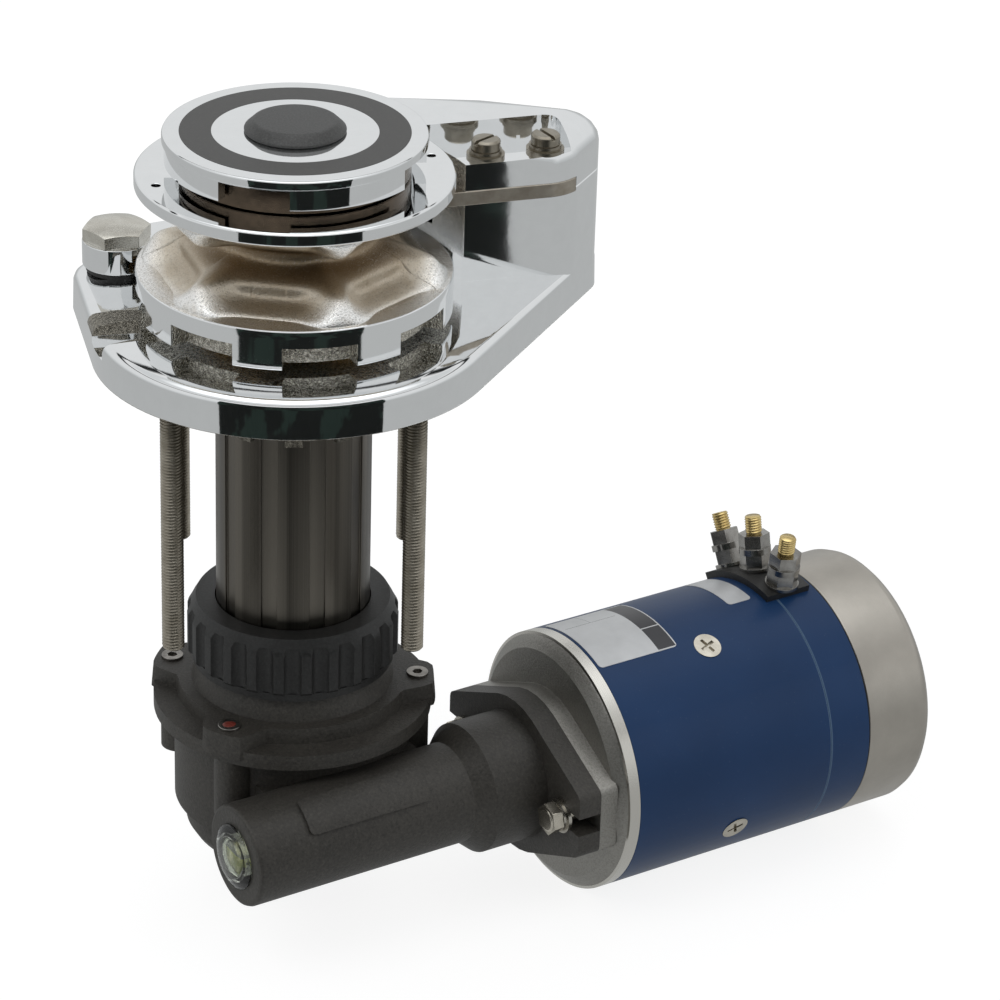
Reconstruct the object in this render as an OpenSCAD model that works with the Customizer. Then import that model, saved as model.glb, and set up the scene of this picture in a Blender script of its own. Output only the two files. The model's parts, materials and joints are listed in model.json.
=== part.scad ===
// Vertical anchor windlass with chain-pipe tower, worm gearbox and DC motor.
// Origin at the deck face on the chainwheel's axis, +Z up along the main shaft.

/* [Base casting] */
// Radius of the round part of the base at the deck
base_r = 89.1; // [84:0.1:96]
// Height of the base's flat top above the deck
base_h = 19; // [17:0.1:20.5]
// Sideways place of the pawl pivot
pivot_x = -79; // [-84:0.1:-77]
// Place of the pawl pivot away from the front
pivot_y = 46; // [44:0.1:50]
// Radius of the base round the pawl pivot
pivot_boss_r = 20; // [18:0.1:24]
// Sideways place of the base's rear corner
corner_x = 119; // [114:0.1:124]
// Place of the base's rear corner away from the front
corner_y = 77.3; // [72:0.1:82]
// Radius of the base's rear corner
corner_r = 18; // [15:0.1:22]
// Width of the drain notch in the base's left side
drain_w = 19; // [12:0.5:24]
// Depth of the drain notch below the flat top
drain_deep = 9; // [5:0.5:11]

/* [Chain-pipe tower] */
// Turn of the tower and of the chain's run into it
tower_turn = 14.7; // [10:0.1:20]
// Distance from the shaft axis to the tower's front wall
tower_v = 11.9; // [8:0.1:14]
// Height of the tower's top above the deck
tower_h = 58; // [57:0.1:60]
// Rounding of the tower's front corner
tower_round = 22; // [16:0.5:26]
// Radius of the guide wall that wraps the chainwheel
guide_r = 81; // [78:0.1:83]
// Distance of the chain pipe along the chain's run
pipe_u = 97; // [94:0.1:102]
// Radius of the chain pipe
pipe_r = 23; // [20:0.1:24]
// Wall round the chain pipe
pipe_wall = 6; // [5:0.1:9]
// Thickness of the stripper plate
stripper_t = 6.5; // [5:0.1:8]
// Distance of the first hood screw along the tower
screw_u = 92.3; // [88:0.1:96]
// Distance between the two hood screws
screw_gap = 27.6; // [24:0.1:30]
// Height of the hood's screw ledge above the deck
ledge_h = 75; // [72:0.1:78]
// Depth of the screw ledge from the tower's front wall
ledge_deep = 29.6; // [27:0.1:32]
// Height of the hood's dome above the deck
hood_h = 83.5; // [82:0.1:88]

/* [Chain] */
// Wire diameter of the anchor chain
chain_d = 10; // [9:0.1:10.5]
// Pitch of the anchor chain's links
chain_pitch = 28; // [27.5:0.1:28.5]
// Outer width of the anchor chain's links
chain_w = 36; // [34:0.1:36.5]

/* [Chainwheel] */
// Outer radius of the chainwheel's notched rim
wheel_r = 69.2; // [68:0.1:71]
// Height of the rim's underside above the deck
wheel_z = 22.7; // [21.5:0.1:24]
// Height of the notched rim
rim_h = 18.3; // [17:0.1:19]
// Number of flat-link pockets round the chainwheel
pockets = 6; // [6:1:6]
// Number of pawl notches in the rim
notches = 8; // [6:1:9]
// Angle that one pawl notch takes
notch_angle = 27; // [22:0.5:28]
// Height of a pawl notch
notch_h = 10.3; // [10:0.1:12]
// Radial depth of a pawl notch
notch_deep = 9; // [7:0.1:10]
// Radius of the polished flange disc over the chainwheel
disc_r = 69.3; // [66:0.1:72]
// Thickness of the flange disc
disc_t = 6.3; // [5:0.1:7]

/* [Clutch] */
// Radius of the upper cone's polished drum
drum_r = 50; // [48.5:0.1:50.5]
// Height of the upper cone's drum above the flange disc
drum_h = 12.3; // [11:0.1:14]
// Radius of the clutch nut's rim
nut_r = 57.3; // [55:0.1:60]
// Thickness of the clutch nut's rim plate
nut_t = 4.35; // [4:0.05:5.5]
// Height of the clutch nut's slotted skirt
skirt_h = 9.1; // [7:0.1:9.5]
// Angle that one slot of the skirt takes
slot_angle = 32.6; // [25:0.1:38]
// Outer radius of the black inlay ring
inlay_r = 49.75; // [46:0.05:51]
// Inner radius of the black inlay ring
inlay_hole_r = 36; // [30:0.1:38]
// Radius of the rubber socket plug
plug_r = 22; // [20:0.1:25]
// Radius of the handle socket in the clutch nut
socket_r = 15; // [14:0.1:16]

/* [Pawl] */
// Radius of the pawl's round hub
pawl_hub_r = 15.5; // [14.5:0.1:16]
// Height of the pawl's hub
pawl_h = 12; // [11:0.1:13]
// Distance from the pivot to the centre of the pawl's nose
pawl_reach = 30; // [29:0.1:31]
// Thickness of the black washer under the pawl
pawl_washer_t = 2.3; // [2:0.1:3]
// Radius of the pawl pivot bolt's shank
pivot_r = 6; // [5:0.1:7]
// Width across flats of the pivot bolt's head
pivot_af = 26.7; // [24:0.1:28]

/* [Shaft and tube] */
// Radius of the main shaft
shaft_r = 12.5; // [11.5:0.1:13]
// Outer radius of the spacer tube
tube_r = 34.9; // [34:0.1:36]
// Wall of the spacer tube
tube_wall = 4.2; // [3.5:0.1:5]
// Number of grooves along the spacer tube
tube_grooves = 10; // [6:1:12]
// Radius of the fluted ring nut
ring_r = 48; // [46.5:0.1:50]
// Height of the fluted ring nut
ring_h = 26.9; // [24:0.1:29]
// Number of flutes round the ring nut
ring_flutes = 24; // [18:1:26]

/* [Deck studs] */
// Radius of a deck stud
stud_r = 5; // [4:0.1:6]
// Distance between neighbouring deck studs
stud_gap = 105; // [100:0.5:108]
// Length of the deck studs below the deck
stud_l = 119.6; // [100:0.1:130]

/* [Gearbox] */
// Depth of the worm's axis below the deck
gear_drop = 207.5; // [200:0.5:230]
// Turn of the worm's axis from the front
worm_turn = 29.6; // [20:0.1:40]
// Radius of the gearbox flange and cover
flange_r = 63.5; // [62.5:0.1:66]
// Thickness of the cover's flange
cover_t = 4.2; // [3.5:0.1:6]
// Height of the cover's wavy rib
rib_h = 7.4; // [6:0.1:9]
// Height from the worm's axis to the case's top face
case_rise = 33.9; // [33.5:0.1:36]
// Depth of the case's floor below the worm's axis
case_drop = 34; // [33:0.1:37]
// Radius of the case round the worm wheel
case_r = 54.2; // [53.9:0.1:56]
// Radius of the worm's barrel
barrel_r = 23.5; // [22.5:0.1:25]
// Length of the worm's barrel to the left of the shaft
barrel_l = 64; // [62:0.1:68]
// Radius of the wide barrel next to the motor
neck_r = 30.5; // [28:0.1:33]
// Half-width of the motor flange over its ears
ear_x = 56; // [53:0.1:59]
// Thickness of the case's motor flange
ear_t = 11.5; // [9:0.1:13]
// Distance from the shaft axis to the motor flange's rear face
mount_a = 93; // [91:0.1:96]
// Distance of the flange bolts from the worm's axis
bolt_x = 42; // [40:0.1:45]
// Radius of the sight glass
glass_r = 13.8; // [12:0.1:15]

/* [Worm gear] */
// Module of the worm gear
gear_module = 1.5; // [1.5:0.1:1.5]
// Number of teeth of the worm wheel
gear_teeth = 64; // [64:4:64]
// Pitch radius of the worm
worm_pitch_r = 14; // [14:0.1:14.3]
// Width of the worm wheel's toothed rim
gear_w = 20; // [16:0.5:22]
// Length of the threaded part of the worm
worm_l = 34; // [28:1:40]

/* [Motor] */
// Outer radius of the motor
motor_r = 61.7; // [60:0.1:63]
// Thickness of the motor's front bell behind its lozenge boss
bell_t = 10; // [9:0.1:12]
// Height of the bell's lozenge boss
boss_t = 8; // [6:0.1:9]
// Length of the motor's shell
shell_l = 129.4; // [126:0.1:135]
// Wall of the motor's shell
shell_wall = 4.5; // [3.5:0.1:6]
// Length of the motor's rear cap
cap_l = 37.6; // [35:0.1:42]
// Radius of the armature core
core_r = 39.2; // [37:0.1:39.5]
// Radius of the commutator
commutator_r = 22; // [18:0.1:22.5]
// Radius of a terminal stud
terminal_r = 4; // [3:0.1:4.5]
// Angle between neighbouring terminal studs
terminal_step = 18; // [16:0.5:20]

/* [Hidden] */

$fn = 64;
eps = 0.01;
// Running clearance of a shaft in its bearing, and gap between parts that only pass each other
run_gap = 0.05;
air = 0.3;
// Threads are plain cylinders: full radius where they stand free, this share of it where they are screwed in
thread_core = 0.86;
stud_core = stud_r * thread_core;
terminal_core = terminal_r * thread_core;

// Heights along the main shaft
wheel_rim_top = wheel_z + rim_h;
chain_gap = 1.1;
groove_h = chain_w + 2 * chain_gap;
groove_top = wheel_rim_top + groove_h;
chain_z = wheel_rim_top + groove_h / 2;
disc_top = groove_top + disc_t;
drum_z = disc_top + 0.5;
drum_top = drum_z + drum_h;
nut_top = drum_top + 1.2 + nut_t;
nut_under = nut_top - nut_t;
skirt_z = nut_under - skirt_h;
plate_z = tower_h - 2;
plate_top = plate_z + stripper_t;
dome_z = hood_h - 13.5;
dome_round = 22;
tower_inset = 0.6;
hood_roof = chain_z + chain_w / 2 + 0.4;
pocket_roof = chain_z + 8;
standing_half = chain_d / 2 + 3.6;
ledge_v = tower_v + ledge_deep;
ledge_corner = 7;

// Chainwheel: the pitch circle of a wheel whose pockets hold alternate links
pitch_r = chain_pitch / 2 / sin(90 / pockets);
flat_r = pitch_r * cos(90 / pockets);
pocket_floor = flat_r - chain_d / 2 - 0.5;
link_groove_w = chain_d + 3;
link_groove_r = pitch_r - chain_w / 2 - 0.8;
pocket_turn = -102;
notch_turn = 9.25;

// Clutch cones: radii where each cone starts and ends
cone_big_r = 42.6;
cone_small_r = 34.5;
cone_low_top = wheel_z + 23.6;
cone_up_bottom = groove_top - 9.7;
disc_cone_r = 46.6;
hub_bore_r = shaft_r + 3.5;
nut_hub_r = 18.5;
nut_hub_z = groove_top + 1.5;
shaft_top = disc_top + 6;
key_w = 6;
key_h = 3;

// Pawl: parked and seated angle of its arm
pawl_z = base_h + pawl_washer_t;
pawl_park = 40;
pawl_nose_r = 4;
pawl_arm_z = wheel_z - 0.4;
pawl_arm_h = notch_h - 0.6;

// Tower frame: u runs with the chain into the tower, v across it
pipe_v = pitch_r - 1.3;
channel_half = chain_w / 2 + 0.5;
channel_v = pitch_r - channel_half;
channel_floor = chain_z - chain_w / 2 - 4;
screw_v = tower_v + 9.4;
screw_r = 4;
function tower_xy(u, v) =
  [u * cos(tower_turn) - v * sin(tower_turn), u * sin(tower_turn) + v * cos(tower_turn)];
pipe_xy = tower_xy(pipe_u, pipe_v);
corner_xy = [corner_x, corner_y];

// Outward normal and distance of the base's front right side, the tangent of base and corner
corner_far = norm(corner_xy);
side_angle = atan2(corner_y, corner_x) - acos((base_r - corner_r) / corner_far);
side_in_tower = side_angle - tower_turn;
front_round_v = tower_v + tower_round;
front_round_u = (base_r - tower_round - front_round_v * sin(side_in_tower)) / cos(side_in_tower);
front_round_xy = tower_xy(front_round_u, front_round_v);
ledge_end = front_round_u + 11;
back_end_xy = tower_xy(60, pipe_v + pipe_r + pipe_wall - 4);
front_end_xy = tower_xy(68, tower_v + 1);

// Discs whose hull is the outline of the base and of the tower: centre and radius
base_discs = [[[0, 0], base_r], [[pivot_x, pivot_y], pivot_boss_r], [corner_xy, corner_r],
  [pipe_xy, pipe_r + pipe_wall]];
tower_discs = [[front_round_xy, tower_round], [corner_xy, corner_r],
  [pipe_xy, pipe_r + pipe_wall], [back_end_xy, 4], [front_end_xy, 1]];

// Heights of tube and gearbox
gear_z = -gear_drop;
case_top = gear_z + case_rise;
case_floor = gear_z - case_drop;
flange_top = case_top + cover_t;
rib_top = flange_top + rib_h;
tube_bottom = rib_top - 2;
spigot_l = 26;
spigot_wall = 2.4;
ring_z = rib_top + 14.3;
neck_top = ring_z + ring_h - 5;
cover_neck_r = tube_r + 7;
bearing_w = 12;
bearing_r = shaft_r + 11;
lower_bearing_z = case_floor + 4;
upper_bearing_z = case_top - 3.6 - bearing_w;
base_bearing_z = 3;

// Worm gear: wheel pitch radius and centre distance
gear_r = gear_module * gear_teeth / 2;
gear_tip_r = gear_r + gear_module;
gear_root_r = gear_r - 1.27 * gear_module;
worm_gap = gear_r + worm_pitch_r;
worm_tip_r = worm_pitch_r + gear_module;
worm_root_r = worm_pitch_r - 1.27 * gear_module;
worm_lead = PI * gear_module;
tooth_half = 0.2 * worm_lead;
gear_cavity_r = gear_tip_r + 1.4;
gear_hub_r = 22;
gear_hub_z = lower_bearing_z + bearing_w + 0.2;
gear_hub_top = upper_bearing_z - 0.4;
worm_bore_r = 17.6;
worm_bearing_r = 17.5;
worm_shaft_r = 7.5;
worm_bearing_w = 11;
worm_left_a = -barrel_l + 6;
worm_right_a = 40;
coupling_a = 80;
armature_shaft_r = 8.5;
cover_screw_angles = [165.6, 240.4, -1, 82];
cover_screw_pcr = flange_r - 6.5;
rib_r = 53;
lug_half = 7;
lug_flare = 12;

// Stations along the motor
bell_a = mount_a + boss_t;
shell_a = bell_a + bell_t;
cap_a = shell_a + shell_l;
motor_end_a = cap_a + cap_l;
shell_in_r = motor_r - shell_wall;
core_a = shell_a + 21;
core_l = cap_a - 34.4 - core_a;
commutator_a = cap_a - 26.4;
commutator_l = 18;
brush_a = commutator_a + 5;
brush_l = 14;
pole_a = core_a + core_l / 2;
pole_angles = [25, 115, 205, 295];
seam_a = cap_a - 22.4;
terminal_a = cap_a - 16.4;
terminal_g = 78;
terminal_angles = [terminal_g - terminal_step, terminal_g, terminal_g + terminal_step];
terminal_top = motor_r + 29.3;
strip_l = 24;
nut_stack = 17.6;
strip_t = 3.3;
rear_bearing_a = motor_end_a - 20;

// Places the children with their own Z along the worm's axis, X away from the front and Y up
module on_worm_axis(a = 0) {
  translate([worm_gap * sin(worm_turn), -worm_gap * cos(worm_turn), gear_z])
    rotate([90, 0, 90 + worm_turn]) translate([0, 0, a]) children();
}
// Places the children at an angle round the worm's axis with their own Z pointing out
module radial(a, angle, r) {
  on_worm_axis(a) rotate([0, 0, angle]) translate([r, 0, 0]) rotate([0, 90, 0]) children();
}
module ring(r, hole, h) {
  difference() {
    cylinder(r = r, h = h);
    translate([0, 0, -1]) cylinder(r = hole, h = h + 2);
  }
}
// A closed ball bearing with its shields set back between the two races
module bearing(r, hole, w) {
  difference() {
    ring(r, hole, w);
    for (z = [-1, w - 0.6]) translate([0, 0, z]) ring(r - 2.4, hole + 2.4, 1.6);
  }
}
module hex(af, h) {
  cylinder(r = af / 2 / cos(30), h = h, $fn = 6);
}
// Hull of one outline at several heights: each level is a height and an inset
module stacked(discs, levels, fn = 72) {
  hull() for (l = levels) for (d = discs)
    translate([d[0][0], d[0][1], l[0]])
      cylinder(r = max(d[1] - l[1], 0.3), h = eps, $fn = d[1] > 60 ? 120 : d[1] < 8 ? 16 : fn);
}
// A sector of a ring between two angles, for angles under 180 degrees
module sector(r, hole, h, from, to) {
  far = 2 * r;
  intersection() {
    ring(r, hole, h);
    linear_extrude(h) polygon([[0, 0], [far * cos(from), far * sin(from)],
      [far * cos((from + to) / 2), far * sin((from + to) / 2)], [far * cos(to), far * sin(to)]]);
  }
}
// The lozenge outline that case flange and motor bell share
module lozenge(h) {
  hull() {
    cylinder(r = neck_r + 7.5, h = h, $fn = 32);
    for (s = [-1, 1]) for (t = [-1, 1]) translate([s * (ear_x - 4), t * 13, 0])
      cylinder(r = 4, h = h, $fn = 16);
  }
}
module round_edge_disc(r, h, edge) {
  rotate_extrude() polygon([[0, 0], [r - edge, 0], [r - 0.3 * edge, 0.3 * edge], [r, edge],
    [r, h - edge], [r - 0.3 * edge, h - 0.3 * edge], [r - edge, h], [0, h]]);
}

module base_casting() {
  color("silver") difference() {
    union() {
      stacked(base_discs, [[0, 0], [base_h - 5.5, 0.4], [base_h - 3.4, 1.2], [base_h - 2.2, 2.6],
        [base_h - 1.6, 4.2], [base_h - eps, 14]]);
      difference() {
        stacked(tower_discs, [[2, tower_inset], [tower_h - 0.8, tower_inset], [tower_h - eps, tower_inset + 0.7]], 48);
        translate([0, 0, base_h - 3]) cylinder(r = guide_r, h = tower_h);
      }
      translate([0, 0, -spigot_l]) ring(tube_r + air + spigot_wall, tube_r + air, spigot_l + 1);
      for (i = [0:9]) rotate([0, 0, 18 + 36 * i]) translate([tube_r + air, -4, -spigot_l - 3])
        cube([spigot_wall - 0.2, 8, 4]);
      translate([0, 0, -8]) cylinder(r = tube_r - tube_wall - air, h = 9);
    }
    translate([0, 0, base_bearing_z]) cylinder(r = bearing_r, h = base_h);
    translate([0, 0, -9]) cylinder(r = shaft_r + 2, h = 20);
    translate([pipe_xy[0], pipe_xy[1], -1]) cylinder(r = pipe_r, h = tower_h + 2);
    rotate([0, 0, tower_turn]) {
      translate([30, channel_v, channel_floor])
        cube([pipe_u - 30, 2 * channel_half, tower_h]);
      translate([40, 0, plate_z]) cube([front_round_u + 14 - 40, channel_v - 0.5, 10]);
      for (i = [0, 1]) translate([screw_u + i * screw_gap, screw_v, plate_z - 18])
        cylinder(r = screw_r, h = 20);
    }
    for (x = [-1, 1]) for (y = [-1, 1]) translate([x * stud_gap / 2, y * stud_gap / 2, -1]) {
      cylinder(r = stud_core, h = 14);
      cylinder(r1 = 2 * (stud_r + air) - stud_core, r2 = stud_core, h = 2);
    }
    translate([pivot_x, pivot_y, base_h - 15]) cylinder(r = pivot_r, h = 20);
    translate([-66.5, -20, base_h - drain_deep]) rotate([0, 0, 10.4])
      translate([-60, -drain_w / 2, 0]) cube([60, drain_w, 20]);
  }
}
module deck_studs() {
  color("darkgray") for (x = [-1, 1]) for (y = [-1, 1])
    translate([x * stud_gap / 2, y * stud_gap / 2, -stud_l]) union() {
      translate([0, 0, 1]) cylinder(r = stud_r, h = stud_l - 1);
      translate([0, 0, 2]) cylinder(r = stud_core, h = stud_l + 11);
      cylinder(r1 = stud_r - 1, r2 = stud_r, h = 1);
    }
}
// Flat plate under the hood whose finger reaches into the chainwheel's link groove
module chain_stripper() {
  finger = link_groove_r + 5;
  color("tan") translate([0, 0, plate_z]) difference() {
    union() {
      rotate([0, 0, tower_turn]) intersection() {
        linear_extrude(stripper_t) polygon([[70, tower_v], [front_round_u + 13.5, tower_v],
          [front_round_u + 13.5, channel_v - 1], [70, channel_v - 1]]);
        translate([front_round_u - 150, front_round_v, -1]) union() {
          translate([150, 0, 0]) cylinder(r = tower_round, h = stripper_t + 2);
          translate([0, -tower_round, 0]) cube([150, 60, stripper_t + 2]);
        }
      }
      rotate([0, 0, tower_turn]) linear_extrude(stripper_t)
        polygon([[finger - 4, 13.5], [finger, 10], [72, tower_v], [72, channel_v - 1], [60, 24]]);
    }
    rotate([0, 0, tower_turn]) for (i = [0, 1])
      translate([screw_u + i * screw_gap, screw_v, -1]) cylinder(r = screw_r + 0.4, h = 20);
  }
}
module chainpipe_hood() {
  rise = hood_h - dome_z;
  color("silver") difference() {
    stacked(tower_discs, concat([[tower_h, tower_inset]], [for (t = [0:15:75])
      [dome_z + rise * sin(t), tower_inset + dome_round * (1 - cos(t))]], [[hood_h, dome_round]]), 44);
    cylinder(r = guide_r, h = 2 * hood_h);
    rotate([0, 0, tower_turn]) {
      translate([0, 0, ledge_h]) linear_extrude(40) polygon(concat([[20, ledge_v], [20, -20],
        [ledge_end, -20]], [for (t = [0:15:90])
        [ledge_end - ledge_corner * (1 - cos(t)), ledge_v - ledge_corner * (1 - sin(t))]]));
      translate([20, -20, tower_h - 1])
        cube([front_round_u + 14 - 20, channel_v - 0.5 + 20, plate_top - tower_h + 1]);
      for (i = [0, 1]) translate([screw_u + i * screw_gap, screw_v, 0])
        cylinder(r = screw_r + 0.4, h = 100);
    }
    translate([pipe_xy[0], pipe_xy[1], tower_h - 1]) cylinder(r = pipe_r, h = pocket_roof - tower_h + 1);
    rotate([0, 0, tower_turn]) {
      translate([20, channel_v + 0.7, tower_h - 1])
        cube([pipe_u - 20, 2 * channel_half - 1.4, pocket_roof - tower_h + 1]);
      translate([20, pitch_r - standing_half, tower_h - 1])
        cube([pipe_u - 8, 2 * standing_half, hood_roof - tower_h + 1]);
    }
  }
}
module at_hood_screws(z) {
  for (i = [0, 1]) rotate([0, 0, tower_turn])
    translate([screw_u + i * screw_gap, screw_v, z]) rotate([0, 0, 30 + i * 75]) children();
}
module hood_screws() {
  color("lightgray") at_hood_screws(ledge_h + 3.4) difference() {
    union() {
      cylinder(r = 6.5, h = 4);
      translate([0, 0, 4]) cylinder(r1 = 6.5, r2 = 5.6, h = 0.9);
      translate([0, 0, -3.4 - ledge_h + plate_z - 16]) cylinder(r = screw_r, h = 30 + ledge_h - plate_z - 10);
    }
    translate([-8, -0.9, 3]) cube([16, 1.8, 4]);
  }
}
module hood_washers() {
  color("lightgray") at_hood_screws(ledge_h) {
    ring(8.5, screw_r + 0.05, 1.5);
    translate([0, 0, 1.5]) ring(7.2, screw_r + 0.05, 1.9);
  }
}
module pawl() {
  color("silver") translate([pivot_x, pivot_y, 0]) difference() {
    union() {
      translate([0, 0, pawl_z]) round_edge_disc(pawl_hub_r, pawl_h, 0.8);
      rotate([0, 0, pawl_park]) translate([0, 0, pawl_arm_z]) hull() {
        cylinder(r = pawl_hub_r - 3, h = pawl_arm_h, $fn = 32);
        translate([pawl_reach, 0, 0]) cylinder(r = pawl_nose_r, h = pawl_arm_h, $fn = 32);
      }
    }
    translate([0, 0, 0]) cylinder(r = pivot_r + run_gap, h = 100);
  }
}
module pawl_washer() {
  color("black") translate([pivot_x, pivot_y, base_h]) ring(pawl_hub_r - 1.5, pivot_r + 0.1, pawl_washer_t);
}
module pawl_pivot_bolt() {
  head_z = pawl_z + pawl_h;
  color("lightgray") translate([pivot_x, pivot_y, 0]) {
    translate([0, 0, base_h - 15]) cylinder(r = pivot_r, h = head_z - base_h + 16);
    intersection() {
      translate([0, 0, head_z]) rotate([0, 0, 12]) hex(pivot_af, 9);
      rotate_extrude() polygon([[0, head_z], [pivot_af / 2 + 3, head_z], [pivot_af / 2 + 3, head_z + 5],
        [pivot_af / 2 - 0.6, head_z + 6.3], [pivot_af / 4, head_z + 7.3], [0, head_z + 7.6]]);
    }
  }
}
module main_shaft() {
  color("gainsboro") difference() {
    union() {
      translate([0, 0, case_floor + 3]) cylinder(r = shaft_r, h = shaft_top - case_floor - 3);
      translate([0, 0, base_bearing_z - 4]) cylinder(r = shaft_r + 1.6, h = 3.7);
    }
    for (k = [wheel_z - 0.5, cone_up_bottom + 1, gear_z - 12])
      translate([shaft_r - key_h, -key_w / 2, k])
        cube([key_h + 1, key_w, k > 0 ? (k > wheel_rim_top ? 8 : 20) : 24]);
  }
}
module drive_keys() {
  color("gray") {
    translate([shaft_r - key_h, -key_w / 2, wheel_z - 0.5]) cube([2 * key_h, key_w, 20]);
    translate([shaft_r - key_h, -key_w / 2, cone_up_bottom + 1]) cube([2 * key_h, key_w, 8]);
    translate([shaft_r - key_h, -key_w / 2, gear_z - 12]) cube([2 * key_h, key_w, 24]);
  }
}
module base_bearing() {
  color("gainsboro") translate([0, 0, base_bearing_z]) bearing(bearing_r, shaft_r + run_gap, bearing_w);
}
module base_seal() {
  color("black") translate([0, 0, base_bearing_z + bearing_w])
    ring(bearing_r, shaft_r + run_gap, base_h - base_bearing_z - bearing_w);
}
module keyway(z, h) {
  translate([0, -key_w / 2, z]) cube([shaft_r + key_h, key_w, h]);
}
module lower_clutch_cone() {
  color("goldenrod") difference() {
    rotate_extrude() polygon([[shaft_r, base_h + 1], [28, base_h + 1], [32, wheel_z - 1],
      [cone_big_r - 0.1, wheel_z - 1], [cone_big_r - 0.1, wheel_z], [cone_small_r - 0.1, cone_low_top - 0.3],
      [shaft_r, cone_low_top - 0.3]]);
    keyway(base_h, wheel_z - 0.5 + 20 - base_h);
  }
}
// One pocket for a flat link: a link's outline that widens away from the axis
module link_pocket() {
  hull() for (s = [-1, 1]) for (p = [[pocket_floor, 7, 1.9], [flat_r, 6, 0.2], [wheel_r + 2, 9, 0.5]])
    translate([p[0], s * p[1], chain_z]) rotate([0, 90, 0])
      cylinder(r = (p[0] > flat_r ? groove_h : chain_w + 0.8) / 2 - p[2], h = 0.5, $fn = 32);
}
module chainwheel() {
  foot_r = wheel_r - 2;
  crest_r = wheel_r - 7;
  color("darkkhaki") difference() {
    rotate_extrude($fn = 120) polygon([[cone_big_r, wheel_z], [wheel_r - 0.6, wheel_z],
      [wheel_r, wheel_z + 0.6], [wheel_r, wheel_rim_top - 1], [foot_r, wheel_rim_top],
      [crest_r, chain_z - link_groove_w / 2], [link_groove_r + 1, chain_z - link_groove_w / 2],
      [link_groove_r, chain_z - 3], [link_groove_r, chain_z + 3],
      [link_groove_r + 1, chain_z + link_groove_w / 2], [crest_r, chain_z + link_groove_w / 2],
      [foot_r - 1, groove_top], [cone_big_r, groove_top], [cone_small_r, cone_up_bottom],
      [hub_bore_r, cone_up_bottom], [hub_bore_r, cone_low_top], [cone_small_r, cone_low_top]]);
    for (i = [0:pockets - 1]) rotate([0, 0, pocket_turn + i * 360 / pockets]) link_pocket();
    for (i = [0:notches - 1]) rotate([0, 0, notch_turn + i * 360 / notches])
      translate([0, 0, wheel_z - 1]) sector(wheel_r + 5, wheel_r - notch_deep, notch_h + 1,
        -notch_angle / 2, notch_angle / 2);
  }
}
module chainwheel_bush() {
  color("peru") translate([0, 0, cone_low_top]) ring(hub_bore_r, shaft_r + run_gap, cone_up_bottom - cone_low_top);
}
module flange_disc() {
  color("silver") difference() {
    rotate_extrude($fn = 120) polygon([[cone_big_r, groove_top], [disc_r - 0.8, groove_top],
      [disc_r, groove_top + 0.8], [disc_r, disc_top - 0.8], [disc_r - 0.8, disc_top], [disc_cone_r, disc_top]]);
    for (a = [17, 197]) rotate([0, 0, a]) translate([disc_r - 7.6, 0, groove_top - 1])
      cylinder(r = 2, h = disc_t + 2);
  }
}
module upper_clutch_cone() {
  color("silver") difference() {
    rotate_extrude($fn = 96) polygon([[0, cone_up_bottom + 0.6], [cone_small_r - 0.1, cone_up_bottom + 0.6],
      [cone_big_r - 0.35, groove_top], [disc_cone_r - 0.35, disc_top], [disc_cone_r - 0.35, drum_z],
      [drum_r - 0.5, drum_z], [drum_r, drum_z + 0.5], [drum_r, drum_top], [0, drum_top]]);
    cylinder(r = shaft_r + run_gap, h = 200);
    translate([0, 0, nut_hub_z - 2]) cylinder(r = nut_hub_r + air, h = 60);
    keyway(cone_up_bottom, 9.1);
  }
}
module clutch_nut() {
  color("silver") difference() {
    union() {
      rotate_extrude($fn = 120) polygon([[0, nut_under], [nut_r - 1, nut_under], [nut_r, nut_under + 0.6],
        [nut_r, nut_top - 1.2], [nut_r - 0.4, nut_top - 0.4], [nut_r - 1.2, nut_top], [0, nut_top]]);
      translate([0, 0, skirt_z]) ring(nut_r - 1, drum_r + 1.5, skirt_h + 1);
      translate([0, 0, nut_hub_z]) cylinder(r = nut_hub_r, h = nut_under - nut_hub_z + 1);
    }
    translate([0, 0, nut_hub_z - 1]) cylinder(r = shaft_r + run_gap, h = shaft_top - nut_hub_z + 1.5);
    translate([0, 0, shaft_top + 0.5]) cylinder(r = socket_r, h = 60);
    translate([0, 0, nut_top - 0.8]) ring(inlay_r, inlay_hole_r, 2);
    for (i = [0:3]) rotate([0, 0, -108.5 + 90 * i]) translate([0, 0, skirt_z - 1])
      sector(nut_r + 5, drum_r + 1, skirt_h + 1 - 0.4, -slot_angle / 2, slot_angle / 2);
  }
}
module inlay_ring() {
  color("dimgray") translate([0, 0, nut_top - 0.8]) ring(inlay_r, inlay_hole_r, 0.9);
}
module socket_plug() {
  color("black") {
    rotate_extrude() polygon([[0, nut_top], [plug_r - 0.7, nut_top], [plug_r, nut_top + 0.7],
      [plug_r, nut_top + 1.4], [plug_r - 3.4, nut_top + 4.6], [plug_r - 5, nut_top + 5.2], [0, nut_top + 5.5]]);
    translate([0, 0, shaft_top + 2]) cylinder(r = socket_r - 0.1, h = nut_top - shaft_top - 2);
  }
}
module spacer_tube() {
  color("#3a3834") translate([0, 0, tube_bottom]) difference() {
    cylinder(r = tube_r, h = -tube_bottom, $fn = 96);
    translate([0, 0, -1]) cylinder(r = tube_r - tube_wall, h = 2 - tube_bottom);
    for (i = [0:tube_grooves - 1]) rotate([0, 0, 360 / tube_grooves * i])
      translate([tube_r - 1.2, -3.6, -1]) cube([4, 7.2, 2 - tube_bottom]);
  }
}
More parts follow.
